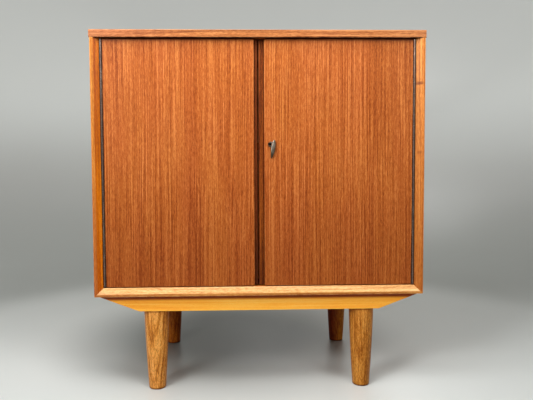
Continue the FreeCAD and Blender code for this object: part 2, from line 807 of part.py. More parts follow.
def build_base(assembly):
    """Two long rails with tapered ends, joined by two cross rails."""
    half_top = outer_x - rail_end_setback
    half_bottom = half_top - rail_taper
    outline = [(-half_top, bottom_low), (half_top, bottom_low)]
    outline += [(half_bottom, leg_length), (-half_bottom, leg_length)]
    front_face = front + rail_setback
    points = [Vector(x, front_face, z) for x, z in outline]
    rail = prism(points, BACKWARD * rail_depth)
    rear_rail = rail.copy()
    rear_rail.translate(BACKWARD * (cabinet_depth - 2 * rail_setback - rail_depth))
    assembly.add("front_base_rail", rounded_rail(rail))
    assembly.add("rear_base_rail", rounded_rail(rear_rail))

    near = front_face + rail_depth
    middle = (leg_length + bottom_low) / 2
    for name, side in (("left", -1), ("right", 1)):
        x = side * leg_half_spacing
        width = (x - cross_rail_width / 2, x + cross_rail_width / 2)
        rail = box(width, (near, -near), (leg_length, bottom_low))
        tenon = box(
            (x - tenon_thickness / 2, x + tenon_thickness / 2),
            (near - tenon_length, -near + tenon_length),
            (middle - tenon_height / 2, middle + tenon_height / 2),
        )
        assembly.add(f"{name}_cross_rail", rail.fuse(tenon).removeSplitter())
        for long_rail in ("front_base_rail", "rear_base_rail"):
            assembly.cut(long_rail, tenon)

    rail_middle = near - rail_depth / 2
    sink_radius = base_screw.head_radius + screw_fit
    for long_rail, y in (("front_base_rail", rail_middle), ("rear_base_rail", -rail_middle)):
        for x in base_screw_places:
            sink = rod(Vector(x, y, leg_length), UP, sink_radius, base_screw_sink)
            assembly.cut(long_rail, sink)
            head = Vector(x, y, leg_length + base_screw_sink)
            drive_screw(assembly, "base_screws", base_screw, head, UP, (long_rail, "bottom_panel"))


def rounded_rail(rail):
    """A rail with its long lower edges eased."""

    def is_long_and_low(bounds):
        return bounds.ZMax < leg_length + arris and bounds.XLength > rail_taper

    return rounded(rail, arris, is_long_and_low)


def build_legs(assembly):
    """Four turned legs, each on a hanger bolt in a threaded insert."""
    foot = Vector(leg_foot_radius, 0, 0)
    top = Vector(leg_top_radius, 0, leg_length)
    curve = Part.Arc(foot, Vector(leg_middle_radius, 0, leg_middle_height), top).toShape()
    straight = Part.makePolygon([top, Vector(0, 0, leg_length), Vector(0, 0, 0), foot])
    leg = Part.Face(Part.Wire([curve] + straight.Edges)).revolve(Vector(0, 0, 0), UP, 360)
    leg = rounded(leg, leg_foot_round, lambda bounds: bounds.ZMax < leg_foot_round / 2)

    leg_y = cabinet_depth / 2 - rail_setback - rail_depth / 2
    for name, x, y in (
        ("front_left", -leg_half_spacing, -leg_y),
        ("front_right", leg_half_spacing, -leg_y),
        ("rear_left", -leg_half_spacing, leg_y),
        ("rear_right", leg_half_spacing, leg_y),
    ):
        placed_leg = leg.copy()
        placed_leg.translate(Vector(x, y, 0))
        assembly.add(f"{name}_leg", placed_leg)
        long_rail = "front_base_rail" if y < 0 else "rear_base_rail"
        joint = Vector(x, y, leg_length)
        hanger = rod(joint - UP * hanger_in_leg, UP, hanger_radius, hanger_in_leg + hanger_in_rail)
        assembly.add("leg_bolts", hanger)
        hole = rod(
            joint - UP * (hanger_in_leg + dowel_end_gap),
            UP,
            hanger_radius + screw_fit,
            hanger_in_leg + hanger_in_rail + 2 * dowel_end_gap,
        )
        assembly.cut(f"{name}_leg", hole)
        assembly.cut(long_rail, hole, rod(joint, UP, insert_radius + screw_fit, insert_length))
        insert = rod(joint, UP, insert_radius, insert_length)
        assembly.add("leg_inserts", insert.cut(hole))


def main():
    assembly = Assembly()
    build_boards(assembly)
    build_lippings(assembly)
    build_back(assembly)
    build_shelf(assembly)
    build_dividers(assembly)
    build_dowels(assembly)
    build_door_stops(assembly)
    build_doors(assembly)
    build_hinges(assembly)
    build_slide_bolts(assembly)
    build_lock(assembly)
    build_key(assembly)
    build_base(assembly)
    build_legs(assembly)
    assembly.write("parts")


main()
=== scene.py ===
"""Looks of a two-door teak record cabinet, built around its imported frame.

Lengths are metres. X runs from left to right, Y from front to back and Z up from the floor.
"""

import json
import logging
import math
from collections.abc import Callable, Iterable, Iterator, Sequence
from contextlib import contextmanager
from dataclasses import dataclass, replace
from enum import Enum
from functools import cache, cached_property
from itertools import pairwise

import bmesh
import bpy
from bpy.types import Material, Node, NodeSocket, NodeTree, Object
from mathutils import Matrix, Vector


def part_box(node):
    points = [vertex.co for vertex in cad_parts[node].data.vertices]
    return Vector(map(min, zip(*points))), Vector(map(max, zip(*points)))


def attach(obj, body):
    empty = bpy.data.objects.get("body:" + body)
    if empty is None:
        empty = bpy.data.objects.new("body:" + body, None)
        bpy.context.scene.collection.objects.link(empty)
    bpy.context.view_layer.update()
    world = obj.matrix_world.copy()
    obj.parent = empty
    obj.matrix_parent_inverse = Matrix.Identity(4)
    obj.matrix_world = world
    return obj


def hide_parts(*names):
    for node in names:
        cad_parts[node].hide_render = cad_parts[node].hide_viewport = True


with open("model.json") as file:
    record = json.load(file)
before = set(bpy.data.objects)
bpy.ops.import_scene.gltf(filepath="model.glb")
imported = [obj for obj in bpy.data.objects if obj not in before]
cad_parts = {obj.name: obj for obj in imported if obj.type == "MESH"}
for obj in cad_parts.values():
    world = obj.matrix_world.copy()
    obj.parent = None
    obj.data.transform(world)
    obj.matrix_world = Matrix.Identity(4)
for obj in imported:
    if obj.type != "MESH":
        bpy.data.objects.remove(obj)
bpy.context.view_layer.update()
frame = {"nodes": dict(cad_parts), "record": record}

MERGE_DISTANCE = 1e-6
FLAT_ANGLE = math.radians(0.5)
SHARP_ANGLE = math.radians(50.0)
SMOOTH_ANGLE = math.radians(40.0)
QUARTER_TURN = math.pi / 2
EASE_SEGMENTS = 3
FULL_WEIGHT = 100
SRGB_TOP = 255.0
SRGB_KNEE = 0.04045
SRGB_SLOPE = 12.92
SRGB_OFFSET = 0.055
SRGB_POWER = 2.4

Colour = tuple[float, float, float, float]
Triple = tuple[float, float, float]
Stations = Sequence[tuple[float, float]]
Value = float | Sequence[float] | NodeSocket
Pair = tuple[Value, Value]

log = logging.getLogger("record_cabinet")


def srgb(red: int, green: int, blue: int) -> Colour:
    """Turn a colour as it is seen on a screen into the linear one that shaders take.

    Args:
        red: Red from 0 to 255.
        green: Green from 0 to 255.
        blue: Blue from 0 to 255.

    Returns:
        The linear colour with an alpha of one.
    """

    def linear(share: float) -> float:
        """The linear value of a channel from 0 to 1."""
        curved = ((share + SRGB_OFFSET) / (1.0 + SRGB_OFFSET)) ** SRGB_POWER
        return share / SRGB_SLOPE if share <= SRGB_KNEE else curved

    return (linear(red / SRGB_TOP), linear(green / SRGB_TOP), linear(blue / SRGB_TOP), 1.0)


# ---------------------------------------------------------------- modelling


def packed(node: str) -> Object:
    """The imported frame's own piece for a node."""
    return frame["nodes"][node]


def middle_of(node: str) -> Vector:
    """The middle of a node's box at rest."""
    low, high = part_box(node)
    return (low + high) / 2


def corners(piece: Object) -> tuple[Vector, Vector]:
    """The lowest and highest corners of a piece's mesh."""
    points = [point.co for point in piece.data.vertices]
    return Vector(map(min, zip(*points))), Vector(map(max, zip(*points)))


def deselect_all() -> None:
    """Leave every object unselected."""
    for thing in bpy.context.selected_objects:
        thing.select_set(False)


def choose(piece: Object) -> None:
    """Make a piece the only selected object, and the active one.

    Args:
        piece: The piece.
    """
    deselect_all()
    piece.select_set(True)
    bpy.context.view_layer.objects.active = piece


@contextmanager
def editing(piece: Object) -> Iterator[None]:
    """Open a piece's mesh for edit-mode operators, and close it afterwards.

    Args:
        piece: The mesh object to work on.

    Yields:
        Nothing: the operators act on the mesh while the block runs.
    """
    choose(piece)
    bpy.ops.object.mode_set(mode="EDIT")
    yield
    bpy.ops.object.mode_set(mode="OBJECT")


def select_edges(piece: Object, wanted: Callable[[bmesh.types.BMEdge], bool]) -> int:
    """Select the edges of the open mesh that pass a test, and nothing else.

    Args:
        piece: The object whose mesh is open.
        wanted: The test.

    Returns:
        How many edges are selected.
    """
    bpy.ops.mesh.select_all(action="DESELECT")
    bpy.ops.mesh.select_mode(type="EDGE")
    mesh = bmesh.from_edit_mesh(piece.data)
    chosen = [edge for edge in mesh.edges if wanted(edge)]
    for edge in chosen:
        edge.select_set(True)
    mesh.select_flush_mode()
    bmesh.update_edit_mesh(piece.data)
    return len(chosen)


def settle(piece: Object) -> None:
    """Put a piece's place into its mesh, point its faces outwards and smooth its curves.

    Args:
        piece: The piece, which may have been moved, turned or scaled.
    """
    choose(piece)
    bpy.ops.object.transform_apply(location=True, rotation=True, scale=True)
    with editing(piece):
        bpy.ops.mesh.select_all(action="SELECT")
        bpy.ops.mesh.remove_doubles(threshold=MERGE_DISTANCE)
        bpy.ops.mesh.normals_make_consistent(inside=False)
    smooth(piece)


def apply_modifier(piece: Object, kind: str, **settings: object) -> None:
    """Add one modifier to a piece and apply it.

    Args:
        piece: The object to change.
        kind: The modifier's type, such as BEVEL.
        **settings: The modifier's own values.
    """
    modifier = piece.modifiers.new(kind.title(), kind)
    for key, value in settings.items():
        setattr(modifier, key, value)
    choose(piece)
    bpy.ops.object.modifier_apply(modifier=modifier.name)


def join(pieces: Sequence[Object], name: str) -> Object:
    """Join several meshes into one object.

    Args:
        pieces: The objects, of which the first one keeps its identity.
        name: The name of the result.

    Returns:
        The joined object.
    """
    deselect_all()
    for piece in pieces:
        piece.select_set(True)
    bpy.context.view_layer.objects.active = pieces[0]
    bpy.ops.object.join()
    pieces[0].name = name
    return pieces[0]


def draw_up(
    foot: Vector,
    stations: Stations,
    extrude: Callable[..., set[str]] = bpy.ops.mesh.extrude_region_move,
) -> None:
    """Extrude what is selected of the open mesh upwards, and resize it at each height.

    Args:
        foot: Where its upright axis starts.
        stations: Pairs of radius and height above the foot, the first of them its own.
        extrude: The operator that extrudes and moves it.
    """
    for (radius, height), (wider, higher) in pairwise(stations):
        extrude(TRANSFORM_OT_translate={"value": (0.0, 0.0, higher - height)})
        scale = wider / radius
        centre = foot + Vector((0.0, 0.0, higher))
        bpy.ops.transform.resize(value=(scale, scale, 1.0), center_override=centre)


def turned(name: str, foot: Vector, stations: Stations, sides: int) -> Object:
    """Make a round solid on an upright axis, as on a lathe.

    Args:
        name: The name of the new piece.
        foot: Where its axis starts.
        stations: Pairs of radius and height above the foot, from the lowest up.
        sides: How many faces go round it.

    Returns:
        The solid, closed at both ends.
    """
    radius, height = stations[0]
    lowest = foot + Vector((0.0, 0.0, height))
    bpy.ops.mesh.primitive_circle_add(vertices=sides, radius=radius, fill_type="NGON", location=lowest)
    piece = bpy.context.object
    piece.name = name
    with editing(piece):
        bpy.ops.mesh.select_all(action="SELECT")
        draw_up(foot, stations)
    return piece


def eased_copy(node: str, name: str, ease: float, shortest: float = 0.02) -> Object:
    """Copy a node's mesh, clean it, and round its long sharp edges as sandpaper does.

    Args:
        node: The frame's node.
        name: The name of the new piece.
        ease: How wide the rounding is.
        shortest: Edges shorter than this stay sharp.

    Returns:
        The new piece, which stands for the node.
    """
    piece = bpy.data.objects.new(name, packed(node).data.copy())
    bpy.context.scene.collection.objects.link(piece)
    piece.data.materials.clear()
    choose(piece)
    bpy.ops.mesh.customdata_custom_splitnormals_clear()
    with editing(piece):
        bpy.ops.mesh.select_all(action="SELECT")
        bpy.ops.mesh.mark_sharp(clear=True)
        bpy.ops.mesh.remove_doubles(threshold=MERGE_DISTANCE)
        bpy.ops.mesh.dissolve_limited(angle_limit=FLAT_ANGLE)

        def is_long_and_sharp(edge: bmesh.types.BMEdge) -> bool:
            """Whether an edge is an outer corner of the board."""
            if len(edge.link_faces) != 2 or edge.calc_length() < shortest:
                return False
            return edge.is_convex and edge.calc_face_angle() > SHARP_ANGLE

        if select_edges(piece, is_long_and_sharp):
            bpy.ops.mesh.bevel(offset=ease, segments=EASE_SEGMENTS, affect="EDGES", clamp_overlap=True)
    stand_for(piece, node)
    smooth(piece)
    return piece


def smooth(piece: Object) -> None:
    """Smooth a piece's curves and roundings, and keep its broad faces flat.

    Args:
        piece: The finished piece.
    """
    choose(piece)
    bpy.ops.object.shade_smooth_by_angle(angle=SMOOTH_ANGLE)
    apply_modifier(piece, "WEIGHTED_NORMAL", mode="FACE_AREA", weight=FULL_WEIGHT, keep_sharp=True)


def body_of(node: str) -> str:
    """The name of the body that a node belongs to."""
    bodies = frame["record"]["behaviour"]["bodies"]
    return next(body for body, members in bodies.items() if node in members)


def stand_for(piece: Object, node: str) -> None:
    """Let a piece take the place of a node, on its body.

    Args:
        piece: The new piece.
        node: The frame's node that is no longer shown.
    """
    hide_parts(node)
    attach(piece, body_of(node))


# ---------------------------------------------------------------- node trees


WHITE = srgb(255, 255, 255)
BLACK = srgb(0, 0, 0)
ORIGIN = (0.0, 0.0, 0.0)
RISING = (0.0, 1.0)
FALLING = (1.0, 0.0)
MIX_INPUTS = (0, 6, 7)
MIX_RESULT = 2


@dataclass(frozen=True)
class Layer:
    """A noise pattern of one size.

    Its pitch is how many of its features a metre holds along each axis. Its limits are the
    values of the noise that stand for nothing and for all of it.
    """

    pitch: Triple
    detail: float = 2.0
    roughness: float = 0.5
    limits: tuple[float, float] = (0.3, 0.7)


class Sheet:
    """A node tree that is being drawn, with a short call for each kind of node in use."""

    def __init__(self, tree: NodeTree) -> None:
        """Start drawing in a tree."""
        self.tree = tree

    def feed(self, socket: NodeSocket, value: Value) -> None:
        """Link a socket to another one, or set its plain value.

        Args:
            socket: The input.
            value: The output that it takes its value from, or the value itself.
        """
        if isinstance(value, NodeSocket):
            self.tree.links.new(value, socket)
        else:
            socket.default_value = value

    def feed_all(self, sockets: Iterable[NodeSocket], values: Iterable[Value]) -> None:
        """Feed each socket with the value in the same place."""
        for socket, value in zip(sockets, values):
            self.feed(socket, value)

    def node(self, kind: str, inputs: dict[str, Value] | None = None, **settings: object) -> Node:
        """Add a node.

        Args:
            kind: Its type without the shader prefix, such as TexNoise.
            inputs: Values or sockets by the name of the input.
            **settings: The node's own properties.

        Returns:
            The new node.
        """
        made = self.tree.nodes.new(f"ShaderNode{kind}")
        for key, value in settings.items():
            setattr(made, key, value)
        for key, value in (inputs or {}).items():
            self.feed(made.inputs[key], value)
        return made

    def group(self, tree: NodeTree, inputs: dict[str, Value]) -> Node:
        """Place a node group with its own values.

        Args:
            tree: The group.
            inputs: Values or sockets by the name of the input.

        Returns:
            The node that holds the group.
        """
        made = self.tree.nodes.new("ShaderNodeGroup")
        made.node_tree = tree
        for key, value in inputs.items():
            self.feed(made.inputs[key], value)
        return made

    def math(self, operation: str, *values: Value, clamp: bool = False) -> NodeSocket:
        """Add a Math node.

        Args:
            operation: What the node does.
            *values: Its inputs in their order.
            clamp: Whether its result is held between 0 and 1.

        Returns:
            Its result.
        """
        made = self.node("Math", operation=operation, use_clamp=clamp)
        self.feed_all(made.inputs, values)
        return made.outputs[0]

    def times(self, first: Value, second: Value) -> NodeSocket:
        """Multiply two numbers."""
        return self.math("MULTIPLY", first, second)

    def vector(self, operation: str, *values: Value) -> NodeSocket:
        """Add a Vector Math node.

        Args:
            operation: What the node does.
            *values: Its inputs in their order.

        Returns:
            Its vector.
        """
        made = self.node("VectorMath", operation=operation)
        self.feed_all(made.inputs, values)
        return made.outputs["Vector"]

    def length(self, vector: Value) -> NodeSocket:
        """The length of a vector."""
        return self.node("VectorMath", {0: vector}, operation="LENGTH").outputs["Value"]

    def axes(self, vector: Value) -> list[NodeSocket]:
        """The X, Y and Z of a vector."""
        return self.node("SeparateXYZ", {"Vector": vector}).outputs[:]

    def place(self) -> NodeSocket:
        """The place on the object."""
        return self.node("TexCoord").outputs["Object"]

    def stretched(self, vector: Value, along: Value) -> NodeSocket:
        """Scale a vector along Z alone."""
        scale = self.node("CombineXYZ", {"X": 1.0, "Y": 1.0, "Z": along})
        return self.vector("MULTIPLY", vector, scale.outputs[0])

    def texture(self, vector: Value, layer: Layer) -> Node:
        """Add the noise texture of a layer.

        Args:
            vector: The place on the object.
            layer: The pattern.

        Returns:
            The texture's node.
        """
        scaled = self.vector("MULTIPLY", vector, layer.pitch)
        inputs = {"Vector": scaled, "Scale": 1.0, "Detail": layer.detail, "Roughness": layer.roughness}
        return self.node("TexNoise", inputs)

    def noise(self, vector: Value, layer: Layer) -> NodeSocket:
        """A layer's noise as a number, which stays near a half."""
        return self.texture(vector, layer).outputs[0]

    def drift(self, vector: Value, layer: Layer) -> NodeSocket:
        """A layer's noise as a vector."""
        return self.texture(vector, layer).outputs["Color"]

    def spread(self, vector: Value, layer: Layer, ends: Pair = RISING) -> NodeSocket:
        """A layer's noise, with its limits carried to two ends."""
        return self.remap(self.noise(vector, layer), *layer.limits, ends)

    def remap(self, value: Value, low: Value, high: Value, ends: Pair = RISING) -> NodeSocket:
        """Carry a value smoothly from one range to another, held at its ends."""
        inputs = {"Value": value, "From Min": low, "From Max": high, "To Min": ends[0], "To Max": ends[1]}
        return self.node("MapRange", inputs, interpolation_type="SMOOTHSTEP").outputs[0]

    def mix(self, share: Value, first: Value, second: Value, blend: str = "MIX") -> NodeSocket:
        """Mix two colours.

        Args:
            share: How much of the second colour there is, from 0 to 1.
            first: The colour underneath.
            second: The colour on top.
            blend: The way that they are mixed.

        Returns:
            The mixed colour.
        """
        made = self.node("Mix", data_type="RGBA", blend_type=blend)
        self.feed_all([made.inputs[index] for index in MIX_INPUTS], (share, first, second))
        return made.outputs[MIX_RESULT]

    def tinted(self, colour: Value, tint: Value, share: Value) -> NodeSocket:
        """Multiply a colour by a share of a tint."""
        return self.mix(1.0, colour, self.mix(share, WHITE, tint), "MULTIPLY")

    def ramp(self, value: Value, stops: Sequence[tuple[float, Colour]]) -> NodeSocket:
        """Turn a value into a colour.

        Args:
            value: The value, from 0 to 1.
            stops: Pairs of a value and its colour, from the lowest up.

        Returns:
            The colour.
        """
        made = self.node("ValToRGB", {"Fac": value})
        elements = made.color_ramp.elements
        for _ in range(len(stops) - len(elements)):
            elements.new(0.0)
        for element, (place, colour) in zip(elements, stops):
            element.position = place
            element.color = colour
        return made.outputs["Color"]

    def weighed(self, base: Value, *parts: tuple[Value, float]) -> NodeSocket:
        """Add up values from 0 to 1, each round its middle and with a weight of its own.

        Args:
            base: What the sum starts from.
            *parts: Pairs of a value and its weight.

        Returns:
            The sum, held between 0 and 1.
        """
        total = base
        for value, weight in parts:
            centred = self.math("SUBTRACT", value, 0.5)
            total = self.math("MULTIPLY_ADD", centred, weight, total)
        return self.math("ADD", total, 0.0, clamp=True)


def begin_group(name: str, inputs: dict[str, Value], outputs: Sequence[str]) -> tuple[Sheet, Node, Node]:
    """Start a node group.

    Args:
        name: The group's name.
        inputs: The inputs' names with their usual values, a number or a vector.
        outputs: The names of the outputs, which are all numbers.

    Returns:
        The sheet to draw on, the node with the inputs and the node with the outputs.
    """
    tree = bpy.data.node_groups.new(name, "ShaderNodeTree")
    for key, usual in inputs.items():
        kind = "NodeSocketFloat" if isinstance(usual, float) else "NodeSocketVector"
        socket = tree.interface.new_socket(name=key, in_out="INPUT", socket_type=kind)
        socket.default_value = usual
    for key in outputs:
        tree.interface.new_socket(name=key, in_out="OUTPUT", socket_type="NodeSocketFloat")
    return Sheet(tree), tree.nodes.new("NodeGroupInput"), tree.nodes.new("NodeGroupOutput")


SLOW_SWAY = Layer((3.5, 3.5, 1.3), detail=1.0)
QUICK_SWAY = Layer((24.0, 24.0, 7.0), detail=1.0)
QUICK_SHARE = (0.03, 0.03, 0.0)
BANDS = Layer((22.0, 22.0, 4.0))
STREAKS = Layer((150.0, 150.0, 1.6), roughness=0.55)
LINES = Layer((500.0, 500.0, 2.2), detail=4.0, roughness=0.72)
LINE_STRENGTH = Layer((26.0, 26.0, 3.5))
LINE_STRENGTHS = (0.7, 1.15)
FLECKS = Layer((760.0, 760.0, 90.0), detail=3.0, roughness=0.7)
WARMTH = Layer((14.0, 14.0, 3.0), detail=3.0)
PORES = Layer((1500.0, 1500.0, 1.0), detail=1.0)
PORE_BRIM = 0.07
RAGGED_RINGS = Layer((60.0, 60.0, 5.0))
RAGGEDNESS = 1.6
RING_SHARPNESS = 2.2
PITH_LEAN = 0.035
SEED_WAY = (1.0, 1.7, 0.6)
CENTRE = (0.5, 0.5, 0.5)
LEVEL = (1.0, 1.0, 0.0)


@cache
def wood_grain() -> NodeTree:
    """Grain of a board that grew along Z, from the width of a board down to single pores.

    Returns:
        A group with the board's broad bands, its streaks, fine lines, short flecks, pores, growth
        rings and patches of warmer tone, and the place across the grain once its slow drift is added.
    """
    inputs = {
        "Position": ORIGIN,
        "Seed": 0.0,
        "Drift": 0.01,
        "Pith": ORIGIN,
        "Ring Pitch": 0.004,
        "Pore Stretch": 90.0,
        "Pore Share": 0.6,
    }
    outputs = ("Bands", "Streaks", "Lines", "Flecks", "Pores", "Rings", "Warmth", "Across")
    sheet, given, result = begin_group("wood_grain", inputs, outputs)
    take = given.outputs

    seed = sheet.vector("MULTIPLY", take["Seed"], SEED_WAY)
    seeded = sheet.vector("ADD", take["Position"], seed)
    slow = sheet.vector("SUBTRACT", sheet.drift(seeded, SLOW_SWAY), CENTRE)
    quick = sheet.vector("SUBTRACT", sheet.drift(seeded, QUICK_SWAY), CENTRE)
    sway = sheet.vector("MULTIPLY_ADD", quick, QUICK_SHARE, slow)
    sway = sheet.vector("MULTIPLY", sway, take["Drift"])
    sway = sheet.vector("MULTIPLY", sway, LEVEL)
    bent = sheet.vector("ADD", seeded, sway)

    strength = sheet.spread(bent, LINE_STRENGTH, LINE_STRENGTHS)
    lines = sheet.math("SUBTRACT", sheet.spread(bent, LINES), 0.5)
    lines = sheet.math("MULTIPLY_ADD", lines, strength, 0.5)
    pore_noise = sheet.noise(sheet.stretched(bent, take["Pore Stretch"]), PORES)
    brim = sheet.math("ADD", take["Pore Share"], PORE_BRIM)
    pores = sheet.remap(pore_noise, take["Pore Share"], brim)

    placed = sheet.vector("ADD", take["Position"], sway)
    x, y, z = sheet.axes(sheet.vector("SUBTRACT", placed, take["Pith"]))
    lean = sheet.math("MULTIPLY_ADD", z, PITH_LEAN, x)
    radius = sheet.math("SQRT", sheet.math("MULTIPLY_ADD", lean, lean, sheet.times(y, y)))
    years = sheet.math("DIVIDE", radius, take["Ring Pitch"])
    years = sheet.math("MULTIPLY_ADD", sheet.noise(bent, RAGGED_RINGS), RAGGEDNESS, years)
    rings = sheet.math("POWER", sheet.math("PINGPONG", years, 1.0), RING_SHARPNESS)

    bands, streaks, flecks, warmth = (
        sheet.spread(bent, layer) for layer in (BANDS, STREAKS, FLECKS, WARMTH)
    )
    across = sheet.axes(placed)[0]
    sheet.feed_all(result.inputs, (bands, streaks, lines, flecks, pores, rings, warmth, across))
    return sheet.tree


WORN_PATCHES = Layer((45.0, 45.0, 45.0), detail=4.0, roughness=0.65, limits=(0.42, 0.66))
WORN_REACH = (0.25, 1.5)


@cache
def edge_wear() -> NodeTree:
    """Wear along the edges of a board, by how near a place is to two faces of its box.

    Returns:
        A group with the wear, from 0 in the middle of a face to 1 on an edge.
    """
    inputs = {"Position": ORIGIN, "Low": ORIGIN, "High": (1.0, 1.0, 1.0), "Width": 0.002}
    sheet, given, result = begin_group("edge_wear", inputs, ("Wear",))
    take = given.outputs
    from_low = sheet.vector("SUBTRACT", take["Position"], take["Low"])
    from_high = sheet.vector("SUBTRACT", take["High"], take["Position"])
    x, y, z = sheet.axes(sheet.vector("MINIMUM", from_low, from_high))
    lesser = sheet.math("MINIMUM", x, y)
    greater = sheet.math("MAXIMUM", x, y)
    second = sheet.math("MAXIMUM", lesser, sheet.math("MINIMUM", greater, z))
    share = sheet.spread(take["Position"], WORN_PATCHES, WORN_REACH)
    wear = sheet.remap(second, 0.0, sheet.times(take["Width"], share), FALLING)
    sheet.feed(result.inputs["Wear"], wear)
    return sheet.tree


SMEARS = Layer((9.0, 9.0, 6.0), detail=3.0, roughness=0.6)
SCRATCH_SWAY = Layer((6.0, 6.0, 6.0))
SCRATCH_BEND = (0.08, 0.08, 0.08)
SCRATCHES = Layer((900.0, 40.0, 14.0), detail=1.0, limits=(0.7, 0.76))
SCRATCHED_PATCHES = Layer((14.0, 14.0, 14.0), limits=(0.5, 0.62))
SPECKS = Layer((420.0, 420.0, 420.0), detail=1.0, limits=(0.74, 0.8))


@cache
def handling() -> NodeTree:
    """What years of hands and dusters leave on a finish.

    Returns:
        A group with faint smears, thin scratches and small dull specks, each from 0 to 1.
    """
    outputs = ("Smears", "Scratches", "Specks")
    sheet, given, result = begin_group("handling", {"Position": ORIGIN}, outputs)
    place = given.outputs["Position"]
    bent = sheet.vector("MULTIPLY_ADD", sheet.drift(place, SCRATCH_SWAY), SCRATCH_BEND, place)
    scratches = sheet.times(sheet.spread(bent, SCRATCHES), sheet.spread(place, SCRATCHED_PATCHES))
    sheet.feed_all(result.inputs, (sheet.spread(place, SMEARS), scratches, sheet.spread(place, SPECKS)))
    return sheet.tree


TARNISH = Layer((160.0, 160.0, 60.0), detail=5.0, roughness=0.65)
BRUSHING = Layer((2600.0, 2600.0, 1.0))
PITS = Layer((1400.0, 1400.0, 1400.0), detail=1.0, limits=(0.66, 0.74))


@cache
def patina() -> NodeTree:
    """Tarnish, brushing and pitting of old metal fittings.

    Returns:
        A group with each of the three from 0 to 1.
    """
    inputs = {"Position": ORIGIN, "Along": 40.0}
    sheet, given, result = begin_group("patina", inputs, ("Tarnish", "Brushing", "Pits"))
    place = given.outputs["Position"]
    brushed = sheet.stretched(place, given.outputs["Along"])
    marks = ((place, TARNISH), (brushed, BRUSHING), (place, PITS))
    sheet.feed_all(result.inputs, [sheet.spread(*mark) for mark in marks])
    return sheet.tree


# ---------------------------------------------------------------- finishes


class Grain(Enum):
    """The way that a board's grain runs, with the turn that brings it onto Z."""

    ACROSS = (0.0, -QUARTER_TURN, 0.0)
    DEEP = (QUARTER_TURN, 0.0, 0.0)
    UPRIGHT = ORIGIN


def fresh_material(name: str) -> tuple[Material, Sheet, Node]:
    """Make a material with a sheet to draw on.

    Args:
        name: The material's name.

    Returns:
        The material, its sheet and its Principled shader.
    """
    material = bpy.data.materials.new(name)
    material.use_nodes = True
    return material, Sheet(material.node_tree), material.node_tree.nodes["Principled BSDF"]


def put_on(piece: Object, material: Material) -> None:
    """Give a piece one material in place of what it had."""
    piece.data.materials.clear()
    piece.data.materials.append(material)


@dataclass(frozen=True)
class HeartStreak:
    """A darker or lighter stripe that runs the whole length of a veneer leaf."""

    place: float
    half_width: float
    strength: float


class Axis(Enum):
    """An axis of the shared frame, by its place in a vector."""

    X = 0
    Y = 1
    Z = 2


@dataclass(frozen=True)
class Fade:
    """A slow change of a finish's colour along an axis; most of them here are painted light or shade."""

    axis: Axis
    start: float
    end: float
    tint: Colour
    where: "Fade | None" = None

    def share(self, sheet: Sheet, place: NodeSocket) -> NodeSocket:
        """How much of the change there is at a place.

        Args:
            sheet: The sheet to draw on.
            place: The place on the object.

        Returns:
            The share, from 0 at the start to 1 at the end.
        """
        along = sheet.axes(place)[self.axis.value]
        ends = RISING if self.start < self.end else FALLING
        share = sheet.remap(along, *sorted((self.start, self.end)), ends)
        return sheet.times(share, self.where.share(sheet, place)) if self.where else share

    def lay(self, sheet: Sheet, place: NodeSocket, colour: NodeSocket) -> NodeSocket:
        """Multiply a colour by the tint, from nothing at the start to all of it at the end."""
        return sheet.tinted(colour, self.tint, self.share(sheet, place))


KNOT_SWIRL = Layer((260.0, 260.0, 700.0), detail=3.0, roughness=0.6)
FRONTAL = (1.0, 0.0, 1.0)


@dataclass(frozen=True)
class Knot:
    """The flattened dark end of a small branch in the front of a strip."""

    place: Vector
    half_width: float
    half_height: float
    tint: Colour
    ragged: float = 1.1
    core: float = 0.25

    def lay(self, sheet: Sheet, place: NodeSocket, colour: NodeSocket) -> NodeSocket:
        """Darken a colour towards the knot's middle.

        Args:
            sheet: The sheet to draw on.
            place: The place on the object.
            colour: The finish so far.

        Returns:
            The changed colour.
        """
        off = sheet.vector("SUBTRACT", place, self.place)
        off = sheet.vector("DIVIDE", off, (self.half_width, 1.0, self.half_height))
        far = sheet.length(sheet.vector("MULTIPLY", off, FRONTAL))
        swirl = sheet.math("SUBTRACT", sheet.noise(place, KNOT_SWIRL), 0.5)
        far = sheet.math("MULTIPLY_ADD", swirl, self.ragged, far)
        return sheet.tinted(colour, self.tint, sheet.remap(far, self.core, 1.0, FALLING))


GOLDEN = (0.98, 1.12, 0.72, 1.0)


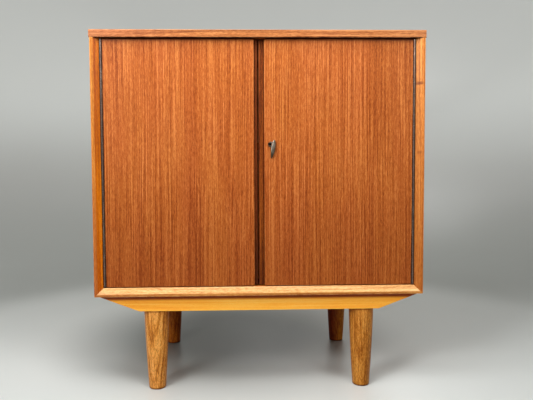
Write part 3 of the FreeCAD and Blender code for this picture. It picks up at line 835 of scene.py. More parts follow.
@dataclass(frozen=True)
class Wood:
    """An oiled or lacquered wood, by its colours and by how strongly each part of its grain shows."""

    name: str
    dark: Colour
    middle: Colour
    light: Colour
    pore: Colour
    worn: Colour
    golden: Colour = GOLDEN
    tones: Triple = (0.12, 0.5, 0.88)
    bands: float = 0.14
    streaks: float = 0.14
    lines: float = 0.95
    flecks: float = 0.6
    rings: float = 0.0
    warmth: float = 0.4
    pores: float = 0.5
    pore_stretch: float = 90.0
    pore_share: float = 0.62
    ring_pitch: float = 0.004
    drift: float = 0.012
    roughness: float = 0.42
    gloss: float = 0.14
    coat: float = 0.02
    relief: float = 0.00012
    wear_width: float = 0.0016
    wear: float = 0.45
    heart_core: float = 0.35
    scratches: float = 0.25
    specks: float = 0.3
    smears: float = 0.09
    streak_shine: float = 0.07
    worn_dullness: float = 0.06
    coat_roughness: float = 0.28
    level: float = 0.6
    raised_grain: float = 0.3
    bump: float = 0.6

    def dress(
        self,
        piece: Object,
        grain: Grain,
        seed: float = 0.0,
        pith: Triple = (0.2, 0.35, 0.0),
        heart: Sequence[HeartStreak] = (),
        fades: Sequence[Fade | Knot] = (),
    ) -> None:
        """Finish a piece in this wood.

        Args:
            piece: The piece, with its place in its mesh.
            grain: The way that its grain runs.
            seed: Picks another stretch of the same timber.
            pith: Where the tree's middle lies, in the turned frame whose Z is the grain.
            heart: Stripes that run the piece's whole length.
            fades: Slow changes of its colour, and knots.
        """
        material, sheet, shader = fresh_material(f"{self.name}_{piece.name}")
        place = sheet.place()
        figure = sheet.group(
            wood_grain(),
            {
                "Position": sheet.node("Mapping", {"Vector": place, "Rotation": grain.value}).outputs[0],
                "Seed": seed,
                "Drift": self.drift,
                "Pith": pith,
                "Ring Pitch": self.ring_pitch,
                "Pore Stretch": self.pore_stretch,
                "Pore Share": self.pore_share,
            },
        ).outputs
        tone = sheet.weighed(
            0.5,
            (figure["Bands"], self.bands),
            (figure["Streaks"], self.streaks),
            (figure["Lines"], self.lines),
            (figure["Flecks"], self.flecks),
            (figure["Rings"], -self.rings),
        )
        for stripe in heart:
            off = sheet.math("ABSOLUTE", sheet.math("SUBTRACT", figure["Across"], stripe.place))
            core = stripe.half_width * self.heart_core
            share = sheet.remap(off, core, stripe.half_width, (stripe.strength, 0.0))
            tone = sheet.math("ADD", tone, share, clamp=True)
        colour = sheet.ramp(tone, tuple(zip(self.tones, (self.dark, self.middle, self.light))))
        colour = sheet.tinted(colour, self.golden, sheet.times(figure["Warmth"], self.warmth))
        for fade in fades:
            colour = fade.lay(sheet, place, colour)
        hidden = sheet.times(figure["Pores"], self.pores)
        colour = sheet.mix(hidden, colour, self.pore)

        low, high = corners(piece)
        edges = {"Position": place, "Low": low, "High": high, "Width": self.wear_width}
        rubbed = sheet.group(edge_wear(), edges).outputs["Wear"]
        marks = sheet.group(handling(), {"Position": place}).outputs
        colour = sheet.mix(sheet.times(rubbed, self.wear), colour, self.worn)
        colour = sheet.mix(sheet.times(marks["Scratches"], self.scratches), colour, self.worn)
        colour = sheet.mix(sheet.times(marks["Specks"], self.specks), colour, self.pore)
        sheet.feed(shader.inputs["Base Color"], colour)

        smears = (marks["Smears"], self.smears)
        shine = (figure["Streaks"], -self.streak_shine)
        dull = sheet.weighed(self.roughness, smears, shine, (rubbed, self.worn_dullness))
        sheet.feed(shader.inputs["Roughness"], dull)
        raised = ((figure["Lines"], self.raised_grain), (figure["Streaks"], self.raised_grain))
        height = sheet.weighed(self.level, *raised, (hidden, -1.0))
        bump = sheet.node("Bump", {"Height": height, "Strength": self.bump, "Distance": self.relief})
        sheet.feed(shader.inputs["Normal"], bump.outputs[0])
        shader.inputs["Specular IOR Level"].default_value = self.gloss
        shader.inputs["Coat Weight"].default_value = self.coat
        shader.inputs["Coat Roughness"].default_value = self.coat_roughness
        put_on(piece, material)


@dataclass(frozen=True)
class KnuckleShade:
    """Painted shade on both flanks of a hinge's knuckles."""

    axis_x: float
    axis_y: float
    # The first width is the half width of the bright middle, with no painted shade; the painted shade is
    # full from the second one on.
    clean: float = 0.0006
    shade_full_from: float = 0.0013
    reach: float = 0.0006
    colour: Colour = srgb(22, 8, 4)

    def flank_shade(self, sheet: Sheet, place: NodeSocket) -> NodeSocket:
        """The share of painted shade on the front of the knuckles, by how far a place is from their middle.

        Args:
            sheet: The sheet to draw on.
            place: The place on the object.

        Returns:
            The share from 0 to 1.
        """
        x, y, _ = sheet.axes(place)
        off = sheet.math("ABSOLUTE", sheet.math("SUBTRACT", x, self.axis_x))
        in_front = sheet.remap(y, self.axis_y, self.axis_y + self.reach, FALLING)
        return sheet.times(sheet.remap(off, self.clean, self.shade_full_from), in_front)


@dataclass(frozen=True)
class Metal:
    """An old metal fitting's finish."""

    name: str
    bright: Colour
    dull: Colour
    pit: Colour
    smooth: float = 0.3
    rough: float = 0.5
    along: float = 60.0
    relief: float = 0.00003
    pitting: float = 0.6
    pit_dullness: float = 0.2
    brush_depth: float = 0.5
    pit_depth: float = 0.8
    bump: float = 0.5

    def dress(
        self,
        piece: Object,
        grain: Grain = Grain.UPRIGHT,
        knuckle_shade: KnuckleShade | None = None,
        fades: tuple[Fade, ...] = (),
    ) -> None:
        """Finish a piece in this metal.

        Args:
            piece: The piece, with its place in its mesh.
            grain: The way that its brushing runs.
            knuckle_shade: Where shade is painted on a hinge's knuckles, if anywhere.
            fades: Slow changes of its colour.
        """
        put_on(piece, self.material(grain, knuckle_shade, fades))

    @cache
    def material(self, grain: Grain, knuckle_shade: KnuckleShade | None, fades: tuple[Fade, ...]) -> Material:
        """The metal's material, made once for each set of its choices.

        Args:
            grain: The way that the brushing runs.
            knuckle_shade: Where shade is painted on a hinge's knuckles, if anywhere.
            fades: Slow changes of its colour.

        Returns:
            The material.
        """
        material, sheet, shader = fresh_material(f"{self.name}_{grain.name.lower()}")
        place = sheet.place()
        turned = sheet.node("Mapping", {"Vector": place, "Rotation": grain.value}).outputs[0]
        age = sheet.group(patina(), {"Position": turned, "Along": self.along}).outputs
        colour = sheet.mix(age["Tarnish"], self.bright, self.dull)
        colour = sheet.mix(sheet.times(age["Pits"], self.pitting), colour, self.pit)
        for fade in fades:
            colour = fade.lay(sheet, place, colour)
        shader.inputs["Metallic"].default_value = 1.0
        # Painted shade on the flanks of a hinge's knuckles, where the metal gives way to a dark colour.
        if knuckle_shade:
            flank_shade = knuckle_shade.flank_shade(sheet, place)
            colour = sheet.mix(flank_shade, colour, knuckle_shade.colour)
            sheet.feed(shader.inputs["Metallic"], sheet.math("SUBTRACT", 1.0, flank_shade))
        sheet.feed(shader.inputs["Base Color"], colour)
        middle = (self.smooth + self.rough) / 2
        spread = self.rough - self.smooth
        dull = sheet.weighed(middle, (age["Tarnish"], spread), (age["Pits"], self.pit_dullness))
        sheet.feed(shader.inputs["Roughness"], dull)
        height = sheet.weighed(0.5, (age["Brushing"], self.brush_depth), (age["Pits"], -self.pit_depth))
        bump = sheet.node("Bump", {"Height": height, "Strength": self.bump, "Distance": self.relief})
        sheet.feed(shader.inputs["Normal"], bump.outputs[0])
        return material


TEAK_DOOR = Wood(
    name="teak_door_veneer",
    dark=srgb(128, 54, 13),
    middle=srgb(171, 88, 36),
    light=srgb(204, 123, 64),
    pore=srgb(94, 39, 8),
    worn=srgb(206, 122, 62),
    bands=0.03,
    streaks=0.03,
    lines=0.74,
    flecks=0.46,
    pore_stretch=200.0,
    roughness=0.44,
)
TEAK_BOARD = Wood(
    name="teak_board_veneer",
    dark=srgb(132, 62, 22),
    middle=srgb(176, 92, 36),
    light=srgb(206, 120, 52),
    pore=srgb(92, 42, 18),
    worn=srgb(208, 128, 68),
    streaks=0.1,
    lines=0.8,
    flecks=0.5,
    rings=0.3,
    ring_pitch=0.006,
    roughness=0.6,
    gloss=0.06,
    coat=0.0,
)
TEAK_SOLID = Wood(
    name="solid_teak",
    dark=srgb(150, 77, 28),
    middle=srgb(198, 118, 50),
    light=srgb(226, 153, 82),
    pore=srgb(110, 50, 18),
    worn=srgb(230, 158, 86),
    lines=0.5,
    flecks=0.4,
    rings=0.15,
    pores=0.4,
    roughness=0.4,
)
TEAK_EDGE = Wood(
    name="teak_top_edge",
    dark=srgb(124, 66, 34),
    middle=srgb(174, 102, 58),
    light=srgb(202, 134, 86),
    pore=srgb(100, 46, 20),
    worn=srgb(222, 150, 92),
    rings=0.15,
    pores=0.4,
    roughness=0.4,
)
# Painted light: a paler copy of the solid teak for the bottom strip, whose bevel faces the light from
# above.
TEAK_LIT = Wood(
    name="lit_teak",
    dark=srgb(190, 120, 64),
    middle=srgb(228, 166, 100),
    light=srgb(248, 200, 138),
    pore=srgb(150, 82, 38),
    worn=srgb(250, 200, 136),
    warmth=0.2,
    pores=0.35,
    roughness=0.34,
    coat=0.25,
)
DARK_STRIP = Wood(
    name="dark_strip",
    dark=srgb(76, 33, 14),
    middle=srgb(119, 54, 22),
    light=srgb(150, 73, 32),
    pore=srgb(34, 16, 8),
    worn=srgb(130, 72, 30),
    bands=0.3,
    streaks=0.4,
    pores=0.4,
    roughness=0.5,
    gloss=0.1,
    coat=0.0,
)
BROWN_STRIP = replace(
    DARK_STRIP,
    name="brown_strip",
    dark=srgb(82, 33, 8),
    middle=srgb(123, 56, 14),
    light=srgb(154, 80, 26),
)
# Painted shade in the grooves of the meeting strips.
GROOVE_SHADE = (0.34, 0.17, 0.11, 1.0)
# Painted shade at the doors' hinge edges.
HINGE_EDGE_SHADE = (0.24, 0.16, 0.14, 1.0)
SHADOW = (0.42, 0.34, 0.42, 1.0)
BEECH = Wood(
    name="lacquered_beech",
    dark=srgb(246, 154, 44),
    middle=srgb(255, 180, 64),
    light=srgb(255, 200, 96),
    pore=srgb(196, 112, 30),
    worn=srgb(254, 206, 112),
    bands=0.3,
    streaks=0.3,
    lines=0.35,
    flecks=0.2,
    warmth=0.2,
    pores=0.45,
    pore_stretch=420.0,
    pore_share=0.66,
    roughness=0.36,
    coat=0.2,
    relief=0.00005,
)
OAK = Wood(
    name="oiled_oak",
    dark=srgb(154, 86, 28),
    middle=srgb(211, 133, 52),
    light=srgb(241, 171, 92),
    pore=srgb(96, 48, 18),
    worn=srgb(224, 152, 84),
    bands=0.2,
    streaks=0.3,
    lines=0.7,
    flecks=0.6,
    rings=0.4,
    ring_pitch=0.0026,
    pores=0.7,
    pore_stretch=130.0,
    pore_share=0.58,
    drift=0.014,
    warmth=0.3,
)
# Painted shade: a darker copy of the oak for the front right leg.
OAK_HALF_SHADE = replace(
    OAK,
    name="oiled_oak_half_shade",
    dark=srgb(136, 73, 17),
    middle=srgb(188, 117, 37),
    light=srgb(218, 153, 72),
)
# Painted shade: a darker copy of the oak for the rear legs, under the case.
OAK_IN_SHADE = replace(
    OAK,
    name="oiled_oak_in_shade",
    dark=srgb(106, 44, 5),
    middle=srgb(148, 74, 10),
    light=srgb(178, 102, 28),
)
PLYWOOD = Wood(
    name="birch_plywood",
    dark=srgb(176, 126, 70),
    middle=srgb(208, 162, 104),
    light=srgb(226, 186, 132),
    pore=srgb(140, 98, 58),
    worn=srgb(232, 200, 156),
    bands=0.2,
    streaks=0.15,
    lines=0.3,
    flecks=0.3,
    rings=0.14,
    ring_pitch=0.017,
    warmth=0.2,
    pores=0.3,
    roughness=0.6,
    coat=0.0,
)
NICKEL = Metal("dulled_nickel", srgb(144, 122, 110), srgb(92, 72, 62), srgb(48, 34, 28), 0.34, 0.54)
STEEL = Metal("screw_steel", srgb(188, 184, 176), srgb(132, 126, 118), srgb(86, 72, 60), 0.28, 0.48)
LOCK_STEEL = Metal("lock_steel", srgb(170, 168, 162), srgb(118, 114, 108), srgb(80, 70, 60), 0.3, 0.5)
BRASS = Metal("aged_brass", srgb(206, 164, 88), srgb(146, 108, 54), srgb(88, 66, 38), 0.26, 0.5)
KEY_STEEL = Metal("key_steel", srgb(158, 146, 134), srgb(100, 90, 78), srgb(46, 40, 32), 0.4, 0.58)
BUSH_STEEL = Metal("bush_steel", srgb(96, 86, 74), srgb(54, 46, 38), srgb(30, 26, 22), 0.4, 0.6)
BLACK_STEEL = Metal("blackened_steel", srgb(34, 32, 30), srgb(18, 17, 16), srgb(10, 9, 8), 0.4, 0.6)


# ---------------------------------------------------------------- the cabinet


@dataclass
class Carcass:
    """The boards of the case, their solid front strips and the back."""

    ease: float = 0.0006
    strip_ease: float = 0.0005
    # Painted shadow on the underside of the top strip and on the lowest millimetre of its front.
    top_strip_underside_shadow: Fade = Fade(Axis.Z, 0.8608, 0.8600, (0.12, 0.08, 0.06, 1.0))
    # Painted shade: the front face of the bottom strip, below its upward bevel, is darker.
    bottom_nose_shade: Fade = Fade(Axis.Y, -0.2143, -0.2148, (0.62, 0.44, 0.25, 1.0))
    # Painted shade: the bevel of the left strip is darker than its flat.
    left_bevel_shade: Fade = Fade(Axis.X, -0.3925, -0.3915, (0.68, 0.41, 0.04, 1.0))
    # Painted light: the lower part of the left bevel is paler.
    low_bevel_light: Fade = Fade(
        Axis.Z, 0.66, 0.46, (1.36, 1.54, 1.2, 1.0), where=Fade(Axis.X, -0.3925, -0.3915, WHITE)
    )
    # Painted shade: the lower part of the left strip's flat is darker.
    low_flat_shade: Fade = Fade(
        Axis.Z, 0.60, 0.38, (0.87, 0.76, 0.76, 1.0), where=Fade(Axis.X, -0.3915, -0.3925, WHITE)
    )
    # Painted light: the inner part of the left bevel is paler.
    inner_bevel_light: Fade = Fade(Axis.X, -0.3890, -0.3815, (1.24, 1.38, 1.30, 1.0))
    # Painted shade: both side strips are darker towards the bottom.
    left_shade: Fade = Fade(Axis.Z, 0.66, 0.27, (0.84, 0.74, 0.64, 1.0))
    right_shade: Fade = Fade(Axis.Z, 0.75, 0.30, (0.76, 0.68, 0.64, 1.0))
    high_knot: Knot = Knot(Vector((0.3880, -0.215, 0.7515)), 0.0130, 0.0062, (0.42, 0.30, 0.24, 1.0))
    low_knot: Knot = Knot(Vector((0.3890, -0.215, 0.5850)), 0.0080, 0.0060, (0.70, 0.62, 0.56, 1.0))

    def build(self) -> None:
        """Make and finish the boards and strips."""
        self.board("top_panel", "teak_top", Grain.ACROSS, seed=0.37, pith=(-0.05, -0.02, 0.0))
        self.board("bottom_panel", "bottom_board", Grain.ACROSS, seed=1.9, pith=(0.1, 0.3, 0.0))
        self.board("left_side_panel", "left_side_board", Grain.UPRIGHT, seed=2.6, pith=(-0.38, -0.04, 0.0))
        self.board("right_side_panel", "right_side_board", Grain.UPRIGHT, seed=4.1, pith=(0.38, 0.06, 0.0))
        left_fades = (self.left_bevel_shade, self.inner_bevel_light, self.left_shade, self.low_bevel_light, self.low_flat_shade)
        right_fades = (self.right_shade, self.high_knot, self.low_knot)
        self.strip("top", TEAK_EDGE, Grain.ACROSS, seed=5.2, fades=(self.top_strip_underside_shadow,))
        self.strip("left", TEAK_SOLID, Grain.UPRIGHT, seed=6.4, fades=left_fades)
        self.strip("right", TEAK_SOLID, Grain.UPRIGHT, seed=7.7, fades=right_fades)
        self.strip("bottom", TEAK_LIT, Grain.ACROSS, seed=8.3, fades=(self.bottom_nose_shade,))
        PLYWOOD.dress(packed("back_panel"), Grain.UPRIGHT, seed=9.1, pith=(0.05, 0.25, 0.0))
        STEEL.dress(packed("back_panel_screws"), Grain.DEEP)
        for node in ("carcass_dowels", "shelf_dowels"):
            BEECH.dress(packed(node), Grain.ACROSS, seed=3.3)

    def board(self, node: str, name: str, grain: Grain, seed: float, pith: Triple) -> None:
        """Make and finish one veneered board.

        Args:
            node: The frame's node that it stands for.
            name: The name of the new piece.
            grain: The way that its grain runs.
            seed: Picks another stretch of the same timber.
            pith: Where the tree's middle lies.
        """
        piece = eased_copy(node, name, self.ease)
        TEAK_BOARD.dress(piece, grain, seed, pith)
        log.info("made %s", name)

    def strip(self, side: str, wood: Wood, grain: Grain, seed: float, fades: Sequence[Fade | Knot]) -> None:
        """Make and finish one solid front strip.

        Args:
            side: The side of the front that it covers.
            wood: Its wood.
            grain: The way that its grain runs.
            seed: Picks another stretch of the same timber.
            fades: Slow changes of its colour, and knots.
        """
        piece = eased_copy(f"{side}_front_lipping", f"{side}_front_strip", self.strip_ease)
        wood.dress(piece, grain, seed, fades=fades)
        log.info("made %s", piece.name)


@dataclass
class Interior:
    """The shelf, the record dividers and the blocks that the doors close against."""

    ease: float = 0.0008
    divider_ease: float = 0.0006
    shortest: float = 0.01

    def build(self) -> None:
        """Make and finish what stands inside the case."""
        shelf = eased_copy("middle_shelf", "shelf_board", self.ease)
        TEAK_BOARD.dress(shelf, Grain.ACROSS, seed=11.3, pith=(0.1, 0.4, 0.0))
        dividers = eased_copy("record_dividers", "divider_boards", self.divider_ease)
        PLYWOOD.dress(dividers, Grain.UPRIGHT, seed=12.4)
        stops = eased_copy("door_stops", "stop_blocks", self.ease, self.shortest)
        TEAK_SOLID.dress(stops, Grain.ACROSS, seed=13.5)
        STEEL.dress(packed("door_stop_screws"))
        log.info("made the shelf, dividers and stops")


class Hand(Enum):
    """Which side of the cabinet a door hangs on."""

    LEFT = "left"
    RIGHT = "right"


@dataclass
class Door:
    """One veneered door with the dark strip on its meeting edge and its piano hinge."""

    hand: Hand
    seed: float
    strip_seed: float
    heart: tuple[HeartStreak, ...]
    strip_wood: Wood
    # Painted shade along the meeting strip's groove.
    strip_groove_shade: Fade
    gap_shadow: Fade
    # Painted shade at the door's hinge edge.
    hinge_edge_shade: Fade
    # Painted shade: the doors are darker towards the bottom.
    shade: Fade = Fade(Axis.Z, 0.62, 0.26, (0.78, 0.72, 0.64, 1.0))
    # Painted shade on the upper door, under the top strip's overhang.
    under_top_shade: Fade = Fade(Axis.Z, 0.800, 0.856, (0.89, 0.89, 0.90, 1.0))
    # Painted shadow along the door's top edge.
    top_edge_shadow: Fade = Fade(Axis.Z, 0.8515, 0.8560, (0.62, 0.56, 0.52, 1.0))
    ease: float = 0.0005
    shade_shift: float = 0.0008

    def build(self) -> None:
        """Make and finish the door."""
        side = self.hand.value
        panel = eased_copy(f"{side}_door_panel", f"{side}_door", self.ease)
        fades = (self.shade, self.under_top_shade, self.top_edge_shadow, self.hinge_edge_shade)
        TEAK_DOOR.dress(panel, Grain.UPRIGHT, self.seed, heart=self.heart, fades=fades)
        strip = eased_copy(f"{side}_door_lip", f"{side}_meeting_strip", self.ease)
        fades = (self.strip_groove_shade, self.gap_shadow)
        self.strip_wood.dress(strip, Grain.UPRIGHT, self.strip_seed, fades=fades)
        self.dress_hinge()
        log.info("made the %s door", side)

    def dress_hinge(self) -> None:
        """Finish the leaves, the pin and the screws of the door's hinge."""
        side = self.hand.value
        axis = middle_of(f"{side}_hinge_pin")
        # The painted shade on the knuckles' flanks sits a little nearer the cabinet's middle than the pin.
        knuckle_shade = KnuckleShade(axis.x - math.copysign(self.shade_shift, axis.x), axis.y)
        for part in ("frame_leaf", "door_leaf", "pin"):
            NICKEL.dress(packed(f"{side}_hinge_{part}"), knuckle_shade=knuckle_shade)
        for part in ("frame_screws", "door_screws"):
            STEEL.dress(packed(f"{side}_hinge_{part}"), Grain.ACROSS)


@dataclass
class SlideBolts:
    """The two slide bolts inside the left door, with their cases and keepers."""

    ease: float = 0.0003
    shortest: float = 0.004
    ends: tuple[str, ...] = ("upper", "lower")

    def build(self) -> None:
        """Make and finish both bolts."""
        for end in self.ends:
            case = eased_copy(f"{end}_bolt_case", f"{end}_slide_case", self.ease, self.shortest)
            BRASS.dress(case)
            BRASS.dress(packed(f"{end}_bolt_keeper"), Grain.ACROSS)
            LOCK_STEEL.dress(packed(f"{end}_bolt"))
        STEEL.dress(packed("bolt_case_screws"), Grain.DEEP)
        STEEL.dress(packed("bolt_keeper_screws"))
        log.info("made the slide bolts")


@dataclass
class Lock:
    """The lock on the inside of the right door, and its keeper on the left one."""

    ease: float = 0.0004
    shortest: float = 0.004

    def build(self) -> None:
        """Make and finish the lock's parts."""
        case = eased_copy("lock_case", "lock_housing", self.ease, self.shortest)
        LOCK_STEEL.dress(case)
        keeper = eased_copy("lock_keeper", "lock_catch", self.ease, self.shortest)
        BRASS.dress(keeper)
        BRASS.dress(packed("lock_bolt"), Grain.ACROSS)
        STEEL.dress(packed("lock_case_screws"), Grain.DEEP)
        STEEL.dress(packed("lock_keeper_screws"), Grain.DEEP)
        BLACK_STEEL.dress(packed("lock_barrel"), Grain.DEEP)
        BUSH_STEEL.dress(packed("keyhole_bush"), Grain.DEEP)
        log.info("made the lock")


@dataclass
class FoldingKey:
    """The key in the right door, whose leaf-shaped bow folds on a pin."""

    tilt: float = math.radians(10.9)
    leaf_tilt: float = math.radians(9.6)
    # Painted shade: the leaf is darker towards its lower tip.
    leaf_tip_shade: Fade = Fade(Axis.Z, 0.602, 0.577, (0.36, 0.33, 0.26, 1.0))
    # Painted shade: the leaf is darker towards its right side.
    leaf_side_shade: Fade = Fade(Axis.X, 0.0335, 0.0385, (0.62, 0.58, 0.5, 1.0))
    # The lugs and the pin are darker than the leaf.
    darker_lugs: Fade = Fade(Axis.X, 0.0290, 0.0265, (0.4, 0.37, 0.32, 1.0))
    half_width: float = 0.0051
    half_thickness: float = 0.0018
    rise: float = 0.0122
    drop: float = 0.0338
    offset: float = 0.0097
    fullness: float = 0.5
    shoulder: float = 1.25
    tip: float = 0.004
    lug_radius: float = 0.0019
    lug_length: float = 0.0038
    lug_ease: float = 0.0003
    bridge_ease: float = 0.0004
    bridge_fullness: float = 1.3
    ease_segments: int = 2
    eye_half_length: float = 0.0027
    rings: int = 28
    segments: int = 32

    def build(self) -> None:
        """Make and finish the bow, and finish the stem and the pin."""
        leaf = self.leaf()
        self.lean(leaf, self.leaf_tilt)
        lugs = join(self.lugs(), "lugs")
        self.lean(lugs, self.tilt)
        bow = join([leaf, lugs], "key_leaf")
        settle(bow)
        stand_for(bow, "key_bow")
        KEY_STEEL.dress(bow, fades=(self.leaf_tip_shade, self.leaf_side_shade, self.darker_lugs))
        KEY_STEEL.dress(packed("key_pivot_pin"), fades=(self.darker_lugs,))
        BLACK_STEEL.dress(packed("key_stem"))
        log.info("made the key")

    @cached_property
    def axis(self) -> Vector:
        """The middle of the pin that the bow folds on."""
        return middle_of("key_pivot_pin")

    def lean(self, piece: Object, angle: float) -> None:
        """Turn a piece about the pin's middle, with its top to the right.

        Args:
            piece: The piece to turn.
            angle: How far.
        """
        with editing(piece):
            bpy.ops.mesh.select_all(action="SELECT")
            bpy.ops.transform.rotate(value=-angle, orient_axis="Y", center_override=self.axis)

    def leaf(self) -> Object:
        """Make the leaf, flat and rounded, and pointed at both ends.

        Returns:
            The leaf, upright beside the pin.
        """
        foot = self.axis + Vector((self.offset, 0.0, -self.drop))
        leaf = turned("leaf", foot, self.stations(), self.segments)
        flat = self.half_thickness / self.half_width
        with editing(leaf):
            bpy.ops.mesh.select_all(action="SELECT")
            bpy.ops.transform.resize(value=(1.0, flat, 1.0), center_override=foot)
        return leaf

    def stations(self) -> list[tuple[float, float]]:
        """The leaf's half width at each height, from its lower tip up.

        Returns:
            Pairs of half width and height above the tip.
        """
        made = []
        for ring in range(self.rings + 1):
            turn = math.pi * (self.tip + (1.0 - 2.0 * self.tip) * ring / self.rings)
            share = (1.0 - math.cos(turn)) / 2.0
            width = self.half_width * math.sin(math.pi * share**self.shoulder) ** self.fullness
            made.append((width, (self.rise + self.drop) * share))
        return made

    def lugs(self) -> list[Object]:
        """Make the two barrels that hold the pin, and their bridges to the leaf.

        Returns:
            The barrels and the bridges.
        """
        made = []
        for side in (-1, 1):
            middle = self.axis + Vector((0.0, 0.0, side * (self.eye_half_length + self.lug_length / 2)))
            bpy.ops.mesh.primitive_cylinder_add(
                vertices=self.segments, radius=self.lug_radius, depth=self.lug_length, location=middle
            )
            barrel = bpy.context.object
            apply_modifier(barrel, "BEVEL", width=self.lug_ease, segments=self.ease_segments)
            made.append(barrel)
            bridge_middle = middle + Vector((self.offset / 2, 0.0, 0.0))
            bpy.ops.mesh.primitive_cube_add(size=1.0, location=bridge_middle)
            bridge = bpy.context.object
            bridge.scale = (self.offset, self.half_thickness * self.bridge_fullness, self.lug_length)
            choose(bridge)
            bpy.ops.object.transform_apply(location=False, rotation=False, scale=True)
            apply_modifier(bridge, "BEVEL", width=self.bridge_ease, segments=self.ease_segments)
            made.append(bridge)
        return made


@dataclass
class Base:
    """The low frame of rails under the case."""

    ease: float = 0.0012
    rail_seed: float = 14.6
    cross_seed: float = 17.2
    # Painted shadow along the top of the rails, under the case's overhang.
    rail_overhang_shadow: Fade = Fade(Axis.Z, 0.2240, 0.2325, (0.36, 0.13, 0.01, 1.0))

    def build(self) -> None:
        """Make and finish the rails."""
        for index, side in enumerate(("front", "rear")):
            rail = eased_copy(f"{side}_base_rail", f"{side}_rail", self.ease)
            BEECH.dress(rail, Grain.ACROSS, self.rail_seed + index, fades=(self.rail_overhang_shadow,))
        for index, side in enumerate(("left", "right")):
            rail = eased_copy(f"{side}_cross_rail", f"{side}_cross_bar", self.ease)
            BEECH.dress(rail, Grain.DEEP, self.cross_seed + index)
        for node in ("base_screws", "leg_bolts", "leg_inserts"):
            STEEL.dress(packed(node))
        log.info("made the base rails")


@dataclass
class TurnedLeg:
    """A round leg that swells gently from its foot to its top."""

    corner: str
    wood: Wood
    seed: float
    figure: float
    # Painted light and shade across a leg's sides.
    sides_light_and_shade: tuple[Fade, ...] = ()
    # The leg is darker towards the floor.
    darker_foot: Fade = Fade(Axis.Z, 0.0065, 0.0008, (0.28, 0.2, 0.16, 1.0))
    # Painted shade at the top of the leg, under the rail.
    shaded_top: Fade = Fade(Axis.Z, 0.1945, 0.1985, (0.5, 0.42, 0.36, 1.0))
    foot_radius: float = 0.02075
    middle_radius: float = 0.0266
    middle_height: float = 0.098
    top_radius: float = 0.03075
    foot_round: float = 0.002
    pith_aside: float = 0.013
    pith_behind: float = 0.045
    pith_height: float = 0.1
    round_steps: int = 5
    length_steps: int = 24
    sides: int = 96

    def build(self) -> None:
        """Make and finish the leg."""
        node = f"{self.corner}_leg"
        low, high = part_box(node)
        foot = Vector(((low.x + high.x) / 2, (low.y + high.y) / 2, low.z))
        leg = turned(f"turned_{node}", foot, self.stations(high.z - low.z), self.sides)
        settle(leg)
        stand_for(leg, node)
        pith = (foot.x + self.pith_aside, foot.y + self.pith_behind, self.pith_height)
        oak = replace(self.wood, rings=self.figure)
        fades = (self.darker_foot, self.shaded_top, *self.sides_light_and_shade)
        oak.dress(leg, Grain.UPRIGHT, self.seed, pith, fades=fades)
        log.info("made %s", leg.name)

    def stations(self, length: float) -> list[tuple[float, float]]:
        """The leg's radius at each height, from the floor up.

        Args:
            length: The leg's length.

        Returns:
            Pairs of radius and height above the foot.
        """
        made = []
        for step in range(self.round_steps):
            turn = QUARTER_TURN * step / self.round_steps
            edge = self.radius_at(self.foot_round, length)
            inset = self.foot_round * (1.0 - math.sin(turn))
            made.append((edge - inset, self.foot_round * (1.0 - math.cos(turn))))
        for step in range(self.length_steps + 1):
            height = self.foot_round + (length - self.foot_round) * step / self.length_steps
            made.append((self.radius_at(height, length), height))
        return made

    def radius_at(self, height: float, length: float) -> float:
        """The smooth curve through the radii at the foot, the middle and the top.

        Args:
            height: The height above the foot.
            length: The leg's length.

        Returns:
            The radius there.
        """
        heights = (0.0, self.middle_height, length)
        known = tuple(zip(heights, (self.foot_radius, self.middle_radius, self.top_radius)))
        total = 0.0
        for place, radius in known:
            for other, _ in known:
                if other != place:
                    radius *= (height - other) / (place - other)
            total += radius
        return total


# ---------------------------------------------------------------- the studio


@dataclass(frozen=True)
class Softbox:
    """One soft lamp."""

    name: str
    place: Triple
    target: Triple
    size: tuple[float, float]
    watts: float
    tint: Triple = (1.0, 0.995, 0.985)

    def hang(self) -> None:
        """Put the lamp in the scene."""
        light = bpy.data.lights.new(self.name, "AREA")
        light.shape = "RECTANGLE"
        light.size, light.size_y = self.size
        light.energy = self.watts
        light.color = self.tint
        lamp = bpy.data.objects.new(self.name, light)
        lamp.location = self.place
        aim = Vector(self.target) - Vector(self.place)
        lamp.rotation_mode = "QUATERNION"
        lamp.rotation_quaternion = aim.to_track_quat("-Z", "Y")
        lamp.visible_camera = False
        bpy.context.scene.collection.objects.link(lamp)


